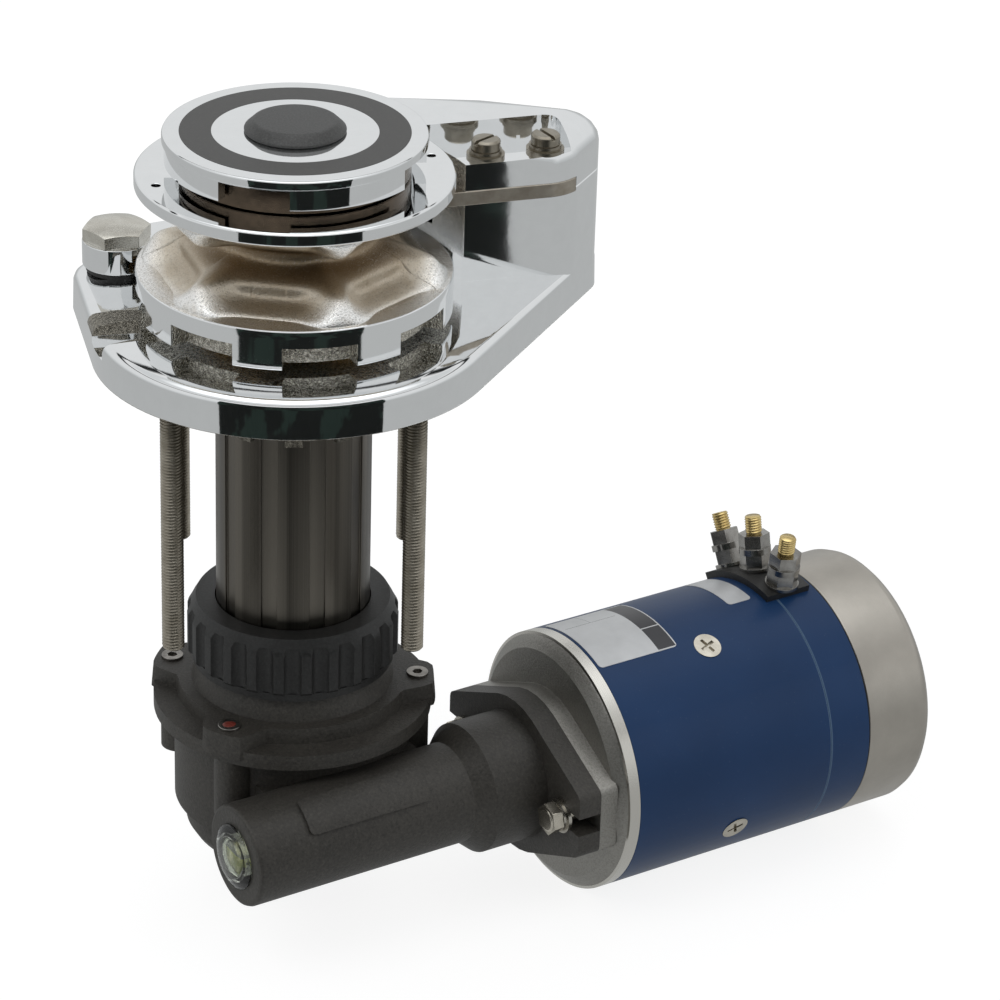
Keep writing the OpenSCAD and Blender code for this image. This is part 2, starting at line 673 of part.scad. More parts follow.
module ring_nut() {
  color("#262626") difference() {
    translate([0, 0, ring_z]) rotate_extrude($fn = 96) polygon([[cover_neck_r + air, 0], [ring_r - 1, 0],
      [ring_r, 1.2], [ring_r, ring_h - 7], [ring_r - 4, ring_h], [tube_r + air, ring_h],
      [tube_r + air, ring_h - 4.6], [cover_neck_r + air, ring_h - 4.6]]);
    for (i = [0:ring_flutes - 1]) rotate([0, 0, 360 / ring_flutes * i])
      translate([ring_r + 1.6, 0, ring_z - 1]) cylinder(r = 4.4, h = ring_h - 3, $fn = 24);
  }
}
module ring_collar() {
  color("#303030") translate([0, 0, ring_z - 3.6]) ring(ring_r - 2.2, cover_neck_r + 0.1, 3.6);
}
module at_cover_screws(z) {
  for (a = cover_screw_angles) rotate([0, 0, a]) translate([cover_screw_pcr, 0, z]) children();
}
// Radius of the cover's wavy rib: it swings out to a lug round each screw
function rib_edge(a) = let (near = min([for (s = cover_screw_angles) abs((a - s + 540) % 360 - 180)]),
  t = min(max((near - lug_half) / lug_flare, 0), 1)) rib_r + (flange_r + 2 - rib_r) * (1 - t * t * (3 - 2 * t));
module gearbox_cover() {
  color("#404040") difference() {
    union() {
      translate([0, 0, case_top]) cylinder(r = flange_r, h = cover_t);
      translate([0, 0, case_top + 0.4]) linear_extrude(rib_top - case_top - 0.4, scale = 0.985)
        polygon([for (a = [0:3:357]) rib_edge(a) * [cos(a), sin(a)]]);
      translate([0, 0, rib_top - 1]) cylinder(r1 = cover_neck_r + 4.5, r2 = cover_neck_r, h = ring_z - 3.6 - rib_top + 1);
      translate([0, 0, rib_top]) cylinder(r = cover_neck_r, h = neck_top - rib_top);
      translate([0, 0, upper_bearing_z]) cylinder(r = bearing_r + 5, h = case_top - upper_bearing_z + 1);
    }
    translate([0, 0, tube_bottom]) cylinder(r = tube_r + run_gap, h = 100);
    translate([0, 0, upper_bearing_z - 1]) cylinder(r = bearing_r, h = bearing_w + 1);
    translate([0, 0, upper_bearing_z]) cylinder(r = shaft_r + 7.5, h = 60);
    at_cover_screws(case_top - 1) cylinder(r = 3.2, h = 60);
  }
}
module cover_screws() {
  color("#555555") at_cover_screws(0) difference() {
    union() {
      translate([0, 0, case_top - 18]) cylinder(r = 3, h = 19 + cover_t + rib_h);
      translate([0, 0, rib_top]) cylinder(r = 5, h = 1.2);
    }
    translate([0, 0, rib_top - 1.5]) hex(4, 4);
  }
}
module gearbox_case() {
  color("#3c3c3c") difference() {
    union() {
      translate([0, 0, case_top - 3]) cylinder(r = flange_r, h = 3);
      translate([0, 0, gear_z - 15]) cylinder(r = case_r, h = case_rise + 14);
      translate([0, 0, case_floor]) rotate_extrude() polygon([[0, 0], [41, 0], [46, 2], [49, 7],
        [49, case_drop - 17], [case_r, case_drop - 12], [0, case_drop - 12]]);
      for (a = cover_screw_angles) rotate([0, 0, a]) translate([0, 0, gear_z]) {
        translate([cover_screw_pcr - 3, 0, 0]) cylinder(r = 8.5, h = case_rise - 1);
        translate([40, -8.5, 0]) cube([cover_screw_pcr - 43, 17, case_rise - 1]);
      }
      on_worm_axis(-barrel_l) {
        round_edge_disc(barrel_r, 2 * barrel_l, 2);
        translate([0, 0, barrel_l]) cylinder(r = barrel_r, h = mount_a - 20);
        translate([0, 0, barrel_l + 47]) cylinder(r1 = barrel_r, r2 = neck_r, h = 8);
        translate([0, 0, barrel_l + 55]) cylinder(r = neck_r, h = mount_a - 56);
        translate([0, 0, barrel_l + mount_a - ear_t]) lozenge(ear_t);
      }
      translate([0, 0, gear_z - barrel_r + 1]) rotate([0, 0, worm_turn - 90])
        translate([0, -40, 0]) cube([worm_gap - 8, 80, 2 * barrel_r - 8]);
    }
    translate([0, 0, gear_hub_z - 2]) cylinder(r = gear_cavity_r, h = 100);
    translate([0, 0, lower_bearing_z]) cylinder(r = bearing_r, h = 50);
    translate([0, 0, case_floor + 2]) cylinder(r = shaft_r + 3, h = 50);
    at_cover_screws(case_top - 20) cylinder(r = 3, h = 60);
    on_worm_axis(worm_left_a) cylinder(r = worm_bore_r, h = 400);
    on_worm_axis(-barrel_l - 1) cylinder(r = glass_r - 3, h = 20);
    on_worm_axis(mount_a - ear_t - 1) for (s = [-1, 1]) {
      translate([s * bolt_x, 0, 0]) cylinder(r = 4.5, h = 40);
      translate([s > 0 ? bolt_x : -ear_x - 10, -4.5, 0]) cube([ear_x + 10 - bolt_x, 9, 40]);
    }
  }
}
module gearbox_bearings() {
  color("gainsboro") for (z = [lower_bearing_z, upper_bearing_z])
    translate([0, 0, z]) bearing(bearing_r, shaft_r + run_gap, bearing_w);
}
module gearbox_seal() {
  color("black") translate([0, 0, upper_bearing_z + bearing_w]) ring(shaft_r + 7.5, shaft_r + run_gap,
    tube_bottom - upper_bearing_z - bearing_w);
}
// Worm wheel with straight-sided teeth, a gap between two teeth facing the worm
module worm_wheel() {
  step = 360 / gear_teeth;
  tip = asin((tooth_half - tan(20) * gear_module) / gear_tip_r);
  root = asin((tooth_half + tan(20) * 1.27 * gear_module) / gear_root_r);
  color("darkgoldenrod") difference() {
    union() {
      rotate([0, 0, worm_turn - 90]) translate([0, 0, gear_z - gear_w / 2]) linear_extrude(gear_w)
        polygon([for (i = [0:gear_teeth - 1]) for (p = [[gear_root_r, -root], [gear_tip_r, -tip],
          [gear_tip_r, tip], [gear_root_r, root]]) let (a = (i + 0.5) * step + p[1])
          [p[0] * cos(a), p[0] * sin(a)]]);
      translate([0, 0, gear_hub_z]) cylinder(r = gear_hub_r, h = gear_hub_top - gear_hub_z);
    }
    translate([0, 0, -400]) cylinder(r = shaft_r, h = 400);
    keyway(gear_z - 12, 24);
    for (z = [gear_z - gear_w / 2 - 1, gear_z + gear_w / 2 - 5]) translate([0, 0, z])
      ring(gear_root_r - 6, gear_hub_r + 5, 6);
  }
}
// Worm with one right-hand thread, twisted from its own cross-section
module worm() {
  thread_turns = worm_l / worm_lead;
  function thread_r(a) = let (x = min(abs(a), 360 - abs(a)) / 360 * worm_lead)
    x < tooth_half - 0.54 ? worm_tip_r
    : x > tooth_half + 0.7 ? worm_root_r
    : worm_tip_r - (x - tooth_half + 0.54) / 1.24 * (worm_tip_r - worm_root_r);
  color("lightslategray") on_worm_axis() {
    translate([0, 0, -worm_l / 2]) rotate([0, 0, -180 * thread_turns])
      linear_extrude(worm_l, twist = -360 * thread_turns, slices = round(9 * thread_turns), $fn = 18)
        polygon([for (a = [0:20:340]) thread_r(a > 180 ? a - 360 : a) * [cos(a), sin(a)]]);
    translate([0, 0, worm_left_a + worm_bearing_w]) cylinder(r = worm_root_r - 1.2, h = worm_right_a - worm_left_a - worm_bearing_w);
    translate([0, 0, worm_left_a + 1]) cylinder(r = worm_shaft_r, h = worm_right_a + worm_bearing_w - worm_left_a);
    translate([0, 0, worm_right_a + worm_bearing_w]) cylinder(r = armature_shaft_r, h = coupling_a - worm_right_a - worm_bearing_w);
  }
}
module worm_bearings() {
  color("gainsboro") for (a = [worm_left_a, worm_right_a])
    on_worm_axis(a) bearing(worm_bearing_r, worm_shaft_r + run_gap, worm_bearing_w);
}
module worm_seal() {
  color("black") on_worm_axis(worm_right_a + worm_bearing_w + 2) ring(worm_bore_r - 0.1, armature_shaft_r + run_gap, 7);
}
module sight_glass() {
  color("lightgreen", 0.6) on_worm_axis(-barrel_l) {
    rotate([180, 0, 0]) rotate_extrude() polygon([[0, 0], [glass_r, 0], [glass_r, 1.2],
      [glass_r - 2, 2.6], [glass_r * 0.55, 4.1], [0, 4.6]]);
    cylinder(r = glass_r - 3, h = 5.5);
  }
}
module coupling_sleeve() {
  color("gray") on_worm_axis(coupling_a - 12) ring(12.5, armature_shaft_r, 24);
}
module motor_bell() {
  color("lightgray") difference() {
    union() {
      on_worm_axis(mount_a) lozenge(boss_t + 1);
      on_worm_axis(bell_a) rotate_extrude($fn = 96) polygon([[0, 0], [motor_r - 7, 0], [motor_r - 2.5, 3],
        [motor_r - 1.5, 4.2], [motor_r, 4.4], [motor_r, bell_t], [0, bell_t]]);
      on_worm_axis(shell_a - 1) cylinder(r = shell_in_r - 0.1, h = 6);
      on_worm_axis(mount_a - 4) cylinder(r = worm_bore_r - 0.1, h = 5);
    }
    on_worm_axis(mount_a - 5) cylinder(r = 13.5, h = 60);
    on_worm_axis(shell_a - 7) cylinder(r = 20, h = 40);
    on_worm_axis(shell_a + 1) cylinder(r = shell_in_r - 6, h = 40);
    on_worm_axis(mount_a - 1) for (s = [-1, 1]) translate([s * bolt_x, 0, 0]) cylinder(r = 4, h = 16);
  }
}
module at_flange_bolts(a) {
  on_worm_axis(a) for (s = [-1, 1]) translate([s * bolt_x, 0, 0]) children();
}
module flange_bolts() {
  color("lightgray") at_flange_bolts(mount_a - ear_t - 3.4) {
    translate([0, 0, -5.3]) rotate([0, 0, 14]) hex(13, 5.3);
    translate([0, 0, -5.8]) cylinder(r1 = 5, r2 = 5.6, h = 0.5);
    translate([0, 0, -1]) cylinder(r = 4, h = ear_t + 18);
  }
}
module flange_bolt_washers() {
  color("lightgray") at_flange_bolts(mount_a - ear_t - 3.4) {
    translate([0, 0, 1.8]) ring(8.2, 4.1, 1.6);
    ring(7, 4.1, 1.8);
  }
}
module motor_shell() {
  color("#1f3f75") difference() {
    on_worm_axis(shell_a) rotate_extrude($fn = 120) polygon([[shell_in_r, 0], [motor_r - 0.4, 0],
      [motor_r, 0.4], [motor_r, seam_a - shell_a - 0.4], [motor_r - 0.5, seam_a - shell_a],
      [motor_r, seam_a - shell_a + 0.4], [motor_r, shell_l - 0.4], [motor_r - 0.4, shell_l], [shell_in_r, shell_l]]);
    for (g = pole_angles) radial(pole_a, g, shell_in_r - 5) {
      cylinder(r = 4, h = 30);
      translate([0, 0, shell_wall + 5 - 2.6]) cylinder(r1 = 4, r2 = 7.2, h = 3.2);
    }
    for (g = terminal_angles) radial(terminal_a, g, shell_in_r - 5) cylinder(r = terminal_r + 1.5, h = 30);
  }
}
module motor_cap() {
  wall = 6;
  color("silver") difference() {
    union() {
      on_worm_axis(cap_a) rotate_extrude($fn = 120) polygon([[0, 0], [motor_r, 0], [motor_r, cap_l - 7],
        [motor_r - 1.2, cap_l - 3.6], [motor_r - 3.6, cap_l - 1.2], [motor_r - 7, cap_l], [0, cap_l]]);
      on_worm_axis(cap_a - 4) cylinder(r = shell_in_r - 0.1, h = 5);
    }
    on_worm_axis(cap_a - 5) cylinder(r = shell_in_r - wall, h = cap_l - 15 + 5);
    on_worm_axis(rear_bearing_a) cylinder(r = worm_bearing_r, h = worm_bearing_w);
    on_worm_axis(rear_bearing_a - 5) cylinder(r = worm_bearing_r, h = 8);
    on_worm_axis(rear_bearing_a) cylinder(r = 10, h = worm_bearing_w + 3);
  }
}
module pole_screws() {
  color("silver") for (g = pole_angles) radial(pole_a, g, shell_in_r) difference() {
    union() {
      translate([0, 0, shell_wall - 2.6]) cylinder(r1 = 3.9, r2 = 6.7, h = 2.8);
      translate([0, 0, -9]) cylinder(r = 3.9, h = 9 + shell_wall - 2.6);
    }
    for (t = [0, 90]) rotate([0, 0, t + 20]) translate([-4, -0.7, shell_wall - 1.4]) cube([8, 1.4, 4]);
  }
}
module field_poles() {
  color("#555b60") difference() {
    on_worm_axis(core_a - 2) for (g = pole_angles) {
      sector(shell_in_r, core_r + 4, core_l + 4, g - 24, g + 24);
      sector(core_r + 5, core_r + 0.8, core_l + 4, g - 36, g + 36);
    }
    for (g = pole_angles) radial(pole_a, g, shell_in_r - 9) cylinder(r = 3.9, h = 20);
  }
}
module field_coils() {
  color("#a8552b") for (g = pole_angles) difference() {
    on_worm_axis(core_a - 10) sector(shell_in_r - 1, core_r + 5.2, core_l + 20, g - 38, g + 38);
    on_worm_axis(core_a - 2.2) sector(shell_in_r + 3, core_r + 2, core_l + 4.4, g - 24.3, g + 24.3);
  }
}
module armature() {
  slots = 16;
  color("#8a7a6a") {
    on_worm_axis(core_a) difference() {
      cylinder(r = core_r, h = core_l);
      for (i = [0:slots - 1]) rotate([0, 0, i * 360 / slots]) translate([core_r - 5, -1.2, -1])
        cube([8, 2.4, core_l + 2]);
    }
    on_worm_axis(core_a - 8) cylinder(r = core_r - 5.5, h = core_l + 16);
    on_worm_axis(coupling_a) cylinder(r = armature_shaft_r, h = rear_bearing_a - coupling_a);
    on_worm_axis(rear_bearing_a) cylinder(r = worm_shaft_r, h = worm_bearing_w);
  }
}
module commutator() {
  color("peru") on_worm_axis(commutator_a) ring(commutator_r, armature_shaft_r, commutator_l);
}
module brush_gear() {
  color("saddlebrown") {
    on_worm_axis(brush_a + brush_l - 0.5) ring(shell_in_r - 0.1, commutator_r + 8, 3);
    on_worm_axis(brush_a) for (g = pole_angles) rotate([0, 0, g])
      translate([commutator_r + 0.3, -6, 0]) cube([16, 12, brush_l]);
  }
}
module motor_bearings() {
  color("gainsboro") {
    on_worm_axis(shell_a - 7) bearing(20, armature_shaft_r + run_gap, bearing_w);
    on_worm_axis(rear_bearing_a) bearing(worm_bearing_r, worm_shaft_r + run_gap, worm_bearing_w);
  }
}
module terminal_strip() {
  color("#222222") difference() {
    on_worm_axis(terminal_a - strip_l / 2)
      sector(motor_r + strip_t, motor_r, strip_l, terminal_g - 1.3 * terminal_step, terminal_g + 1.3 * terminal_step);
    for (g = terminal_angles) radial(terminal_a, g, shell_in_r - 5) cylinder(r = terminal_r + 0.1, h = 30);
  }
}
module terminal_studs() {
  free_end = motor_r + strip_t + nut_stack + 0.2;
  color("goldenrod") for (g = terminal_angles) radial(terminal_a, g, 0) {
    translate([0, 0, shell_in_r - 5]) cylinder(r = terminal_core, h = terminal_top - shell_in_r + 3);
    translate([0, 0, free_end]) cylinder(r = terminal_r, h = terminal_top - 1 - free_end);
    translate([0, 0, terminal_top - 1]) cylinder(r1 = terminal_r, r2 = terminal_r - 0.9, h = 1);
    translate([0, 0, shell_in_r - 8]) hex(13, 4);
  }
}
module terminal_nuts() {
  color("silver") for (g = terminal_angles) radial(terminal_a, g, motor_r + strip_t) rotate([0, 0, g]) difference() {
    union() {
      cylinder(r = 8, h = 1.6);
      translate([0, 0, 1.6]) hex(13, 6.5);
      translate([0, 0, 8.1]) cylinder(r = 7.6, h = 3);
      translate([0, 0, nut_stack - 6.5]) hex(13, 6.5);
    }
    translate([0, 0, -1]) cylinder(r = terminal_core + 0.05, h = 30);
  }
}

base_casting();
deck_studs();
chain_stripper();
chainpipe_hood();
hood_screws();
hood_washers();
pawl();
pawl_washer();
pawl_pivot_bolt();
main_shaft();
drive_keys();
base_bearing();
base_seal();
lower_clutch_cone();
chainwheel();
chainwheel_bush();
flange_disc();
upper_clutch_cone();
clutch_nut();
inlay_ring();
socket_plug();
spacer_tube();
ring_nut();
ring_collar();
gearbox_cover();
cover_screws();
gearbox_case();
gearbox_bearings();
gearbox_seal();
worm_wheel();
worm();
worm_bearings();
worm_seal();
sight_glass();
coupling_sleeve();
motor_bell();
flange_bolts();
flange_bolt_washers();
motor_shell();
motor_cap();
pole_screws();
field_poles();
field_coils();
armature();
commutator();
brush_gear();
motor_bearings();
terminal_strip();
terminal_studs();
terminal_nuts();
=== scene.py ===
"""Vertical anchor windlass: finishes, threads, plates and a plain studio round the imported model."""
import json
import math

import bmesh
import bpy
import numpy as np
from bpy.props import FloatProperty, FloatVectorProperty, IntProperty, PointerProperty
from mathutils import Matrix, Vector


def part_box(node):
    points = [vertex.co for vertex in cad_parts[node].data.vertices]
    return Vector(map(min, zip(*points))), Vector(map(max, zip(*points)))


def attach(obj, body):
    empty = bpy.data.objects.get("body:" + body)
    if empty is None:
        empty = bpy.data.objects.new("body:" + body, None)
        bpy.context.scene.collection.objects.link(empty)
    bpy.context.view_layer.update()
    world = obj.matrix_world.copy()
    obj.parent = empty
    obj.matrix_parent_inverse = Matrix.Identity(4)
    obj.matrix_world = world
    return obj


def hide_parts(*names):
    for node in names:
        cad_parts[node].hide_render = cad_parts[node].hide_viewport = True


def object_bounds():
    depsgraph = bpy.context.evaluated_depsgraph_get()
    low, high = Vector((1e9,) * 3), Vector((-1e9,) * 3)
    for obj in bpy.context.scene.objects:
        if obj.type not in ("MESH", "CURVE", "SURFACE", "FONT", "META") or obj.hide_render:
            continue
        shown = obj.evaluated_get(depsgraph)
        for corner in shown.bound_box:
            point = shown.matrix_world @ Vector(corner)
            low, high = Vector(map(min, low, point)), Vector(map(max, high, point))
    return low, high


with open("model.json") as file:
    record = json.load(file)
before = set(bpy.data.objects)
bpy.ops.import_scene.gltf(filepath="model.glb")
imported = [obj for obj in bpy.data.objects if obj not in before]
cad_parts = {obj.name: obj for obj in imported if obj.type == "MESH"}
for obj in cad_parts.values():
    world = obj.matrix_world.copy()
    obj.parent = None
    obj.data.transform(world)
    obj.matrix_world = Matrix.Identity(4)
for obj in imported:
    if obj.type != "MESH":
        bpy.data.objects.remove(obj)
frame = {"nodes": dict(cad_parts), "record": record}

bl_info = {
    "name": "Vertical anchor windlass",
    "version": (1, 0, 0),
    "blender": (4, 5, 0),
    "location": "3D View > Sidebar > Windlass",
    "description": "Finishes, threads, plates and a studio for the packed windlass",
    "category": "Object",
}

MM = 0.001
NODES = frame["nodes"]
BODY_OF = {node: body for body, nodes in frame["record"]["behaviour"]["bodies"].items() for node in nodes}
SLOT_OF = {part["node"]: part["material_slot"] for part in frame["record"]["subparts"]}
CAD_BOX = [list(corner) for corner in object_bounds()]

# The worm's and the motor's axis: turned 29.6 degrees from X, 62 mm in front of the main shaft
WORM_TURN = math.radians(29.6)
WORM_GAP = 62 * MM
GEAR_Z = -207.5 * MM
ALONG = Vector((math.cos(WORM_TURN), math.sin(WORM_TURN), 0))
ASIDE = Vector((-math.sin(WORM_TURN), math.cos(WORM_TURN), 0))
AXIS_START = ASIDE * -WORM_GAP + Vector((0, 0, GEAR_Z))

# Distances along the worm's axis, from its point nearest the main shaft
BARREL_END_A = -64 * MM
TURNED_RIM_A = 105.2 * MM
SHELL_END_A = 240.4 * MM
SEAM_A = SHELL_END_A - 22.4 * MM
TERMINAL_A = SHELL_END_A - 16.4 * MM

# Terminal studs: angles round the motor's axis in degrees, radius, and where their threads start and
# end, in mm from that axis
TERMINAL_ANGLES = (60, 78, 96)
TERMINAL_R = 4
TERMINAL_FOOT = 83
TERMINAL_TOP = 91

# Radius in mm at which the blank plates lie on the motor's shell
PLATE_R = 61.65

# Rough places of the base casting: the drain notch in X, Y and Z, and the wall that guides the chain
DRAIN = ((-100 * MM, -66.2 * MM), (-32 * MM, 0.0), (12.8 * MM, 21.6 * MM))
GUIDE_WALL_R = (80.4 * MM, 81.6 * MM)
GUIDE_WALL_Z = (30 * MM, 50 * MM)

# Seal paint on a cover screw: distance from the main shaft and height in mm, angle in degrees
DAB_R = 57
DAB_Z = -160.9
DAB_ANGLE = 240.4

# Height of the oil's level behind the sight glass
OIL_TOP_Z = -204 * MM

# Dark card of the studio: distance from the origin and top edge in metres, and its facets
CARD_R = 0.46
CARD_TOP_Z = 0.17
CARD_STEPS = 24

# Chainwheel in mm and degrees: rim, pawl notches, link pockets, whelps and link groove
RIM_R = 69.2
RIM_TOP = 40.9
NOTCH_R = 60.4
NOTCH_TOP = 33.0
NOTCH_HALF_ANGLE = 13.5
NOTCH_START = 9.25
POCKET_START = -102
POCKET_R = 46.9
POCKET_HALF_HEIGHT = 16.0
POCKET_HALF_LENGTH = 23.6
CREST_R = 61.6
GROOVE_R = 36.0
GROOVE_Z = 60.1
GROOVE_HALF = 6.6

# Machined metals: main colour, colour of the tarnish and roughness
BRUSHED = {
    "stainless": ((0.37, 0.34, 0.285), (0.24, 0.215, 0.17), 0.34),
    "bronze_plate": ((0.46, 0.42, 0.36), (0.3, 0.26, 0.21), 0.38),
    "bronze": ((0.62, 0.4, 0.17), (0.4, 0.24, 0.1), 0.3),
    "brass": ((0.74, 0.58, 0.27), (0.5, 0.36, 0.14), 0.26),
    "steel": ((0.6, 0.61, 0.62), (0.45, 0.45, 0.45), 0.28),
    "zinc": ((0.55, 0.53, 0.48), (0.36, 0.33, 0.28), 0.26),
    "copper": ((0.65, 0.33, 0.16), (0.42, 0.2, 0.1), 0.35),
    "core_iron": ((0.32, 0.32, 0.33), (0.2, 0.19, 0.18), 0.5),
}


def on_worm_axis(a):
    """Frame with Z along the worm's axis, X away from the front and Y up, at distance a in metres."""
    turn = Matrix((ASIDE, (0, 0, 1), ALONG)).transposed().to_4x4()
    return Matrix.Translation(AXIS_START + ALONG * a) @ turn


def round_axis(a, angle, r):
    """Point at distance a along the worm's axis, at an angle in degrees round it and at radius r."""
    g = math.radians(angle)
    return AXIS_START + ALONG * a + (ASIDE * math.cos(g) + Vector((0, 0, 1)) * math.sin(g)) * r


class Field:
    """A node socket that takes part in Python arithmetic."""

    def __init__(self, tree, socket):
        self.tree = tree
        self.socket = socket

    def maths(self, operation, *others, clamp=False):
        node = self.tree.nodes.new("ShaderNodeMath")
        node.operation = operation
        node.use_clamp = clamp
        for place, value in zip(node.inputs, (self, *others)):
            if isinstance(value, Field):
                self.tree.links.new(value.socket, place)
            else:
                place.default_value = value
        return Field(self.tree, node.outputs[0])

    def __add__(self, other):
        return self.maths("ADD", other)

    def __sub__(self, other):
        return self.maths("SUBTRACT", other)

    def __mul__(self, other):
        return self.maths("MULTIPLY", other)

    def __truediv__(self, other):
        return self.maths("DIVIDE", other)

    def __pow__(self, other):
        return self.maths("POWER", other)

    def __neg__(self):
        return self * -1.0

    def __rsub__(self, other):
        return -self + other

    __radd__ = __add__
    __rmul__ = __mul__

    def above(self, limit):
        return self.maths("GREATER_THAN", limit)

    def below(self, limit):
        return self.maths("LESS_THAN", limit)

    def between(self, low, high):
        return self.above(low) * self.below(high)

    def most(self, other):
        return self.maths("MAXIMUM", other)

    def ramp(self, low, high):
        """0 at low and 1 at high, held at both ends."""
        return ((self - low) / (high - low)).maths("ADD", 0.0, clamp=True)


class Graph:
    """A node tree that is written as Python expressions."""

    def __init__(self, tree):
        self.tree = tree

    def add(self, kind, settings=None, **sockets):
        """Adds a node: its settings first, then a value or a link for each socket, with _ for a space."""
        node = self.tree.nodes.new(kind)
        for name, value in (settings or {}).items():
            if name == "stops":
                for _ in range(len(value) - 2):
                    node.color_ramp.elements.new(0.5)
                for stop, (place, colour) in zip(node.color_ramp.elements, value):
                    stop.position = place
                    stop.color = (*colour, 1)
            else:
                setattr(node, name, value)
        for name, value in sockets.items():
            self.feed(node, name.replace("_", " "), value)
        return node

    def feed(self, node, name, value):
        place = next(s for s in node.inputs if s.enabled and s.name == name)
        if isinstance(value, Field):
            self.tree.links.new(value.socket, place)
        elif isinstance(value, (tuple, list)) and place.type == "RGBA":
            place.default_value = (*value[:3], 1)
        else:
            place.default_value = value

    def out(self, node, name):
        return Field(self.tree, next(s for s in node.outputs if s.enabled and s.name == name))

    def blend(self, factor, first, second):
        """Mixes the shaders of two nodes: the first at 0 and the second at 1."""
        node = self.add("ShaderNodeMixShader", Fac=factor)
        self.tree.links.new(first.outputs[0], node.inputs[1])
        self.tree.links.new(second.outputs[0], node.inputs[2])
        return node


class Finish(Graph):
    """A material: one Principled surface and the fields that vary it."""

    def __init__(self, name, **sockets):
        self.material = bpy.data.materials.new(name)
        self.material.use_nodes = True
        super().__init__(self.material.node_tree)
        self.tree.nodes.clear()
        self.surface = self.add("ShaderNodeBsdfPrincipled", **sockets)
        self.output = self.add("ShaderNodeOutputMaterial", Surface=self.out(self.surface, "BSDF"))
        self.place = self.out(self.add("ShaderNodeTexCoord"), "Object")
        split = self.add("ShaderNodeSeparateXYZ", Vector=self.place)
        self.x, self.y, self.z = (self.out(split, axis) for axis in "XYZ")

    def set(self, **sockets):
        for name, value in sockets.items():
            self.feed(self.surface, name.replace("_", " "), value)

    def noise(self, scale, detail=3.0, roughness=0.55, stretch=None):
        """Noise of about 1 over scale metres, from 0 to 1."""
        vector = self.place
        if stretch:
            vector = self.out(self.add("ShaderNodeMapping", Vector=vector, Scale=stretch), "Vector")
        return self.out(self.add("ShaderNodeTexNoise", Vector=vector, Scale=scale, Detail=detail,
                                 Roughness=roughness), "Fac")

    def streaks(self, position, scale, detail=3.0):
        """Noise of one number, such as a height or an angle."""
        return self.out(self.add("ShaderNodeTexNoise", {"noise_dimensions": "1D"}, W=position, Scale=scale,
                                 Detail=detail), "Fac")

    def cells(self, scale):
        return self.out(self.add("ShaderNodeTexVoronoi", Vector=self.place, Scale=scale), "Distance")

    def mix(self, mask, low, high):
        node = self.add("ShaderNodeMix", {"data_type": "RGBA"}, Factor=mask, A=low, B=high)
        return self.out(node, "Result")

    def bump(self, height, depth):
        """Raised and sunken detail: depth in metres for a height from 0 to 1."""
        return self.out(self.add("ShaderNodeBump", Strength=1.0, Distance=depth, Height=height), "Normal")

    def radius(self):
        return (self.x * self.x + self.y * self.y) ** 0.5

    def angle(self):
        return self.y.maths("ARCTAN2", self.x)

    def along(self):
        """Distance along the motor's axis."""
        return self.x * ALONG.x + self.y * ALONG.y


def polished_chrome(colour, name="polished_chrome", cast=None):
    """Buffed chrome plate with a faint waviness; cast gives where the casting stays rough."""
    f = Finish(name, Metallic=1.0)
    wave = f.noise(22.0, 2.0, 0.4)
    haze = f.noise(140.0, 4.0, 0.6)
    shine = haze * 0.035 + 0.025
    tint = f.mix(haze, colour, [c * 0.93 for c in colour])
    height = wave * 0.55 + f.noise(420.0, 2.0) * 0.01
    if cast:
        mask = cast(f)
        grit = f.noise(900.0, 4.0, 0.7)
        shine = shine + mask * (grit * 0.22 + 0.1)
        tint = f.mix(mask, tint, f.mix(grit.ramp(0.4, 0.62), (0.42, 0.39, 0.33), (0.13, 0.12, 0.1)))
        height = height * (1 - mask) + mask * grit * 8.0
    f.set(Base_Color=tint, Roughness=shine, Normal=f.bump(height, 0.00022))
    return f.material


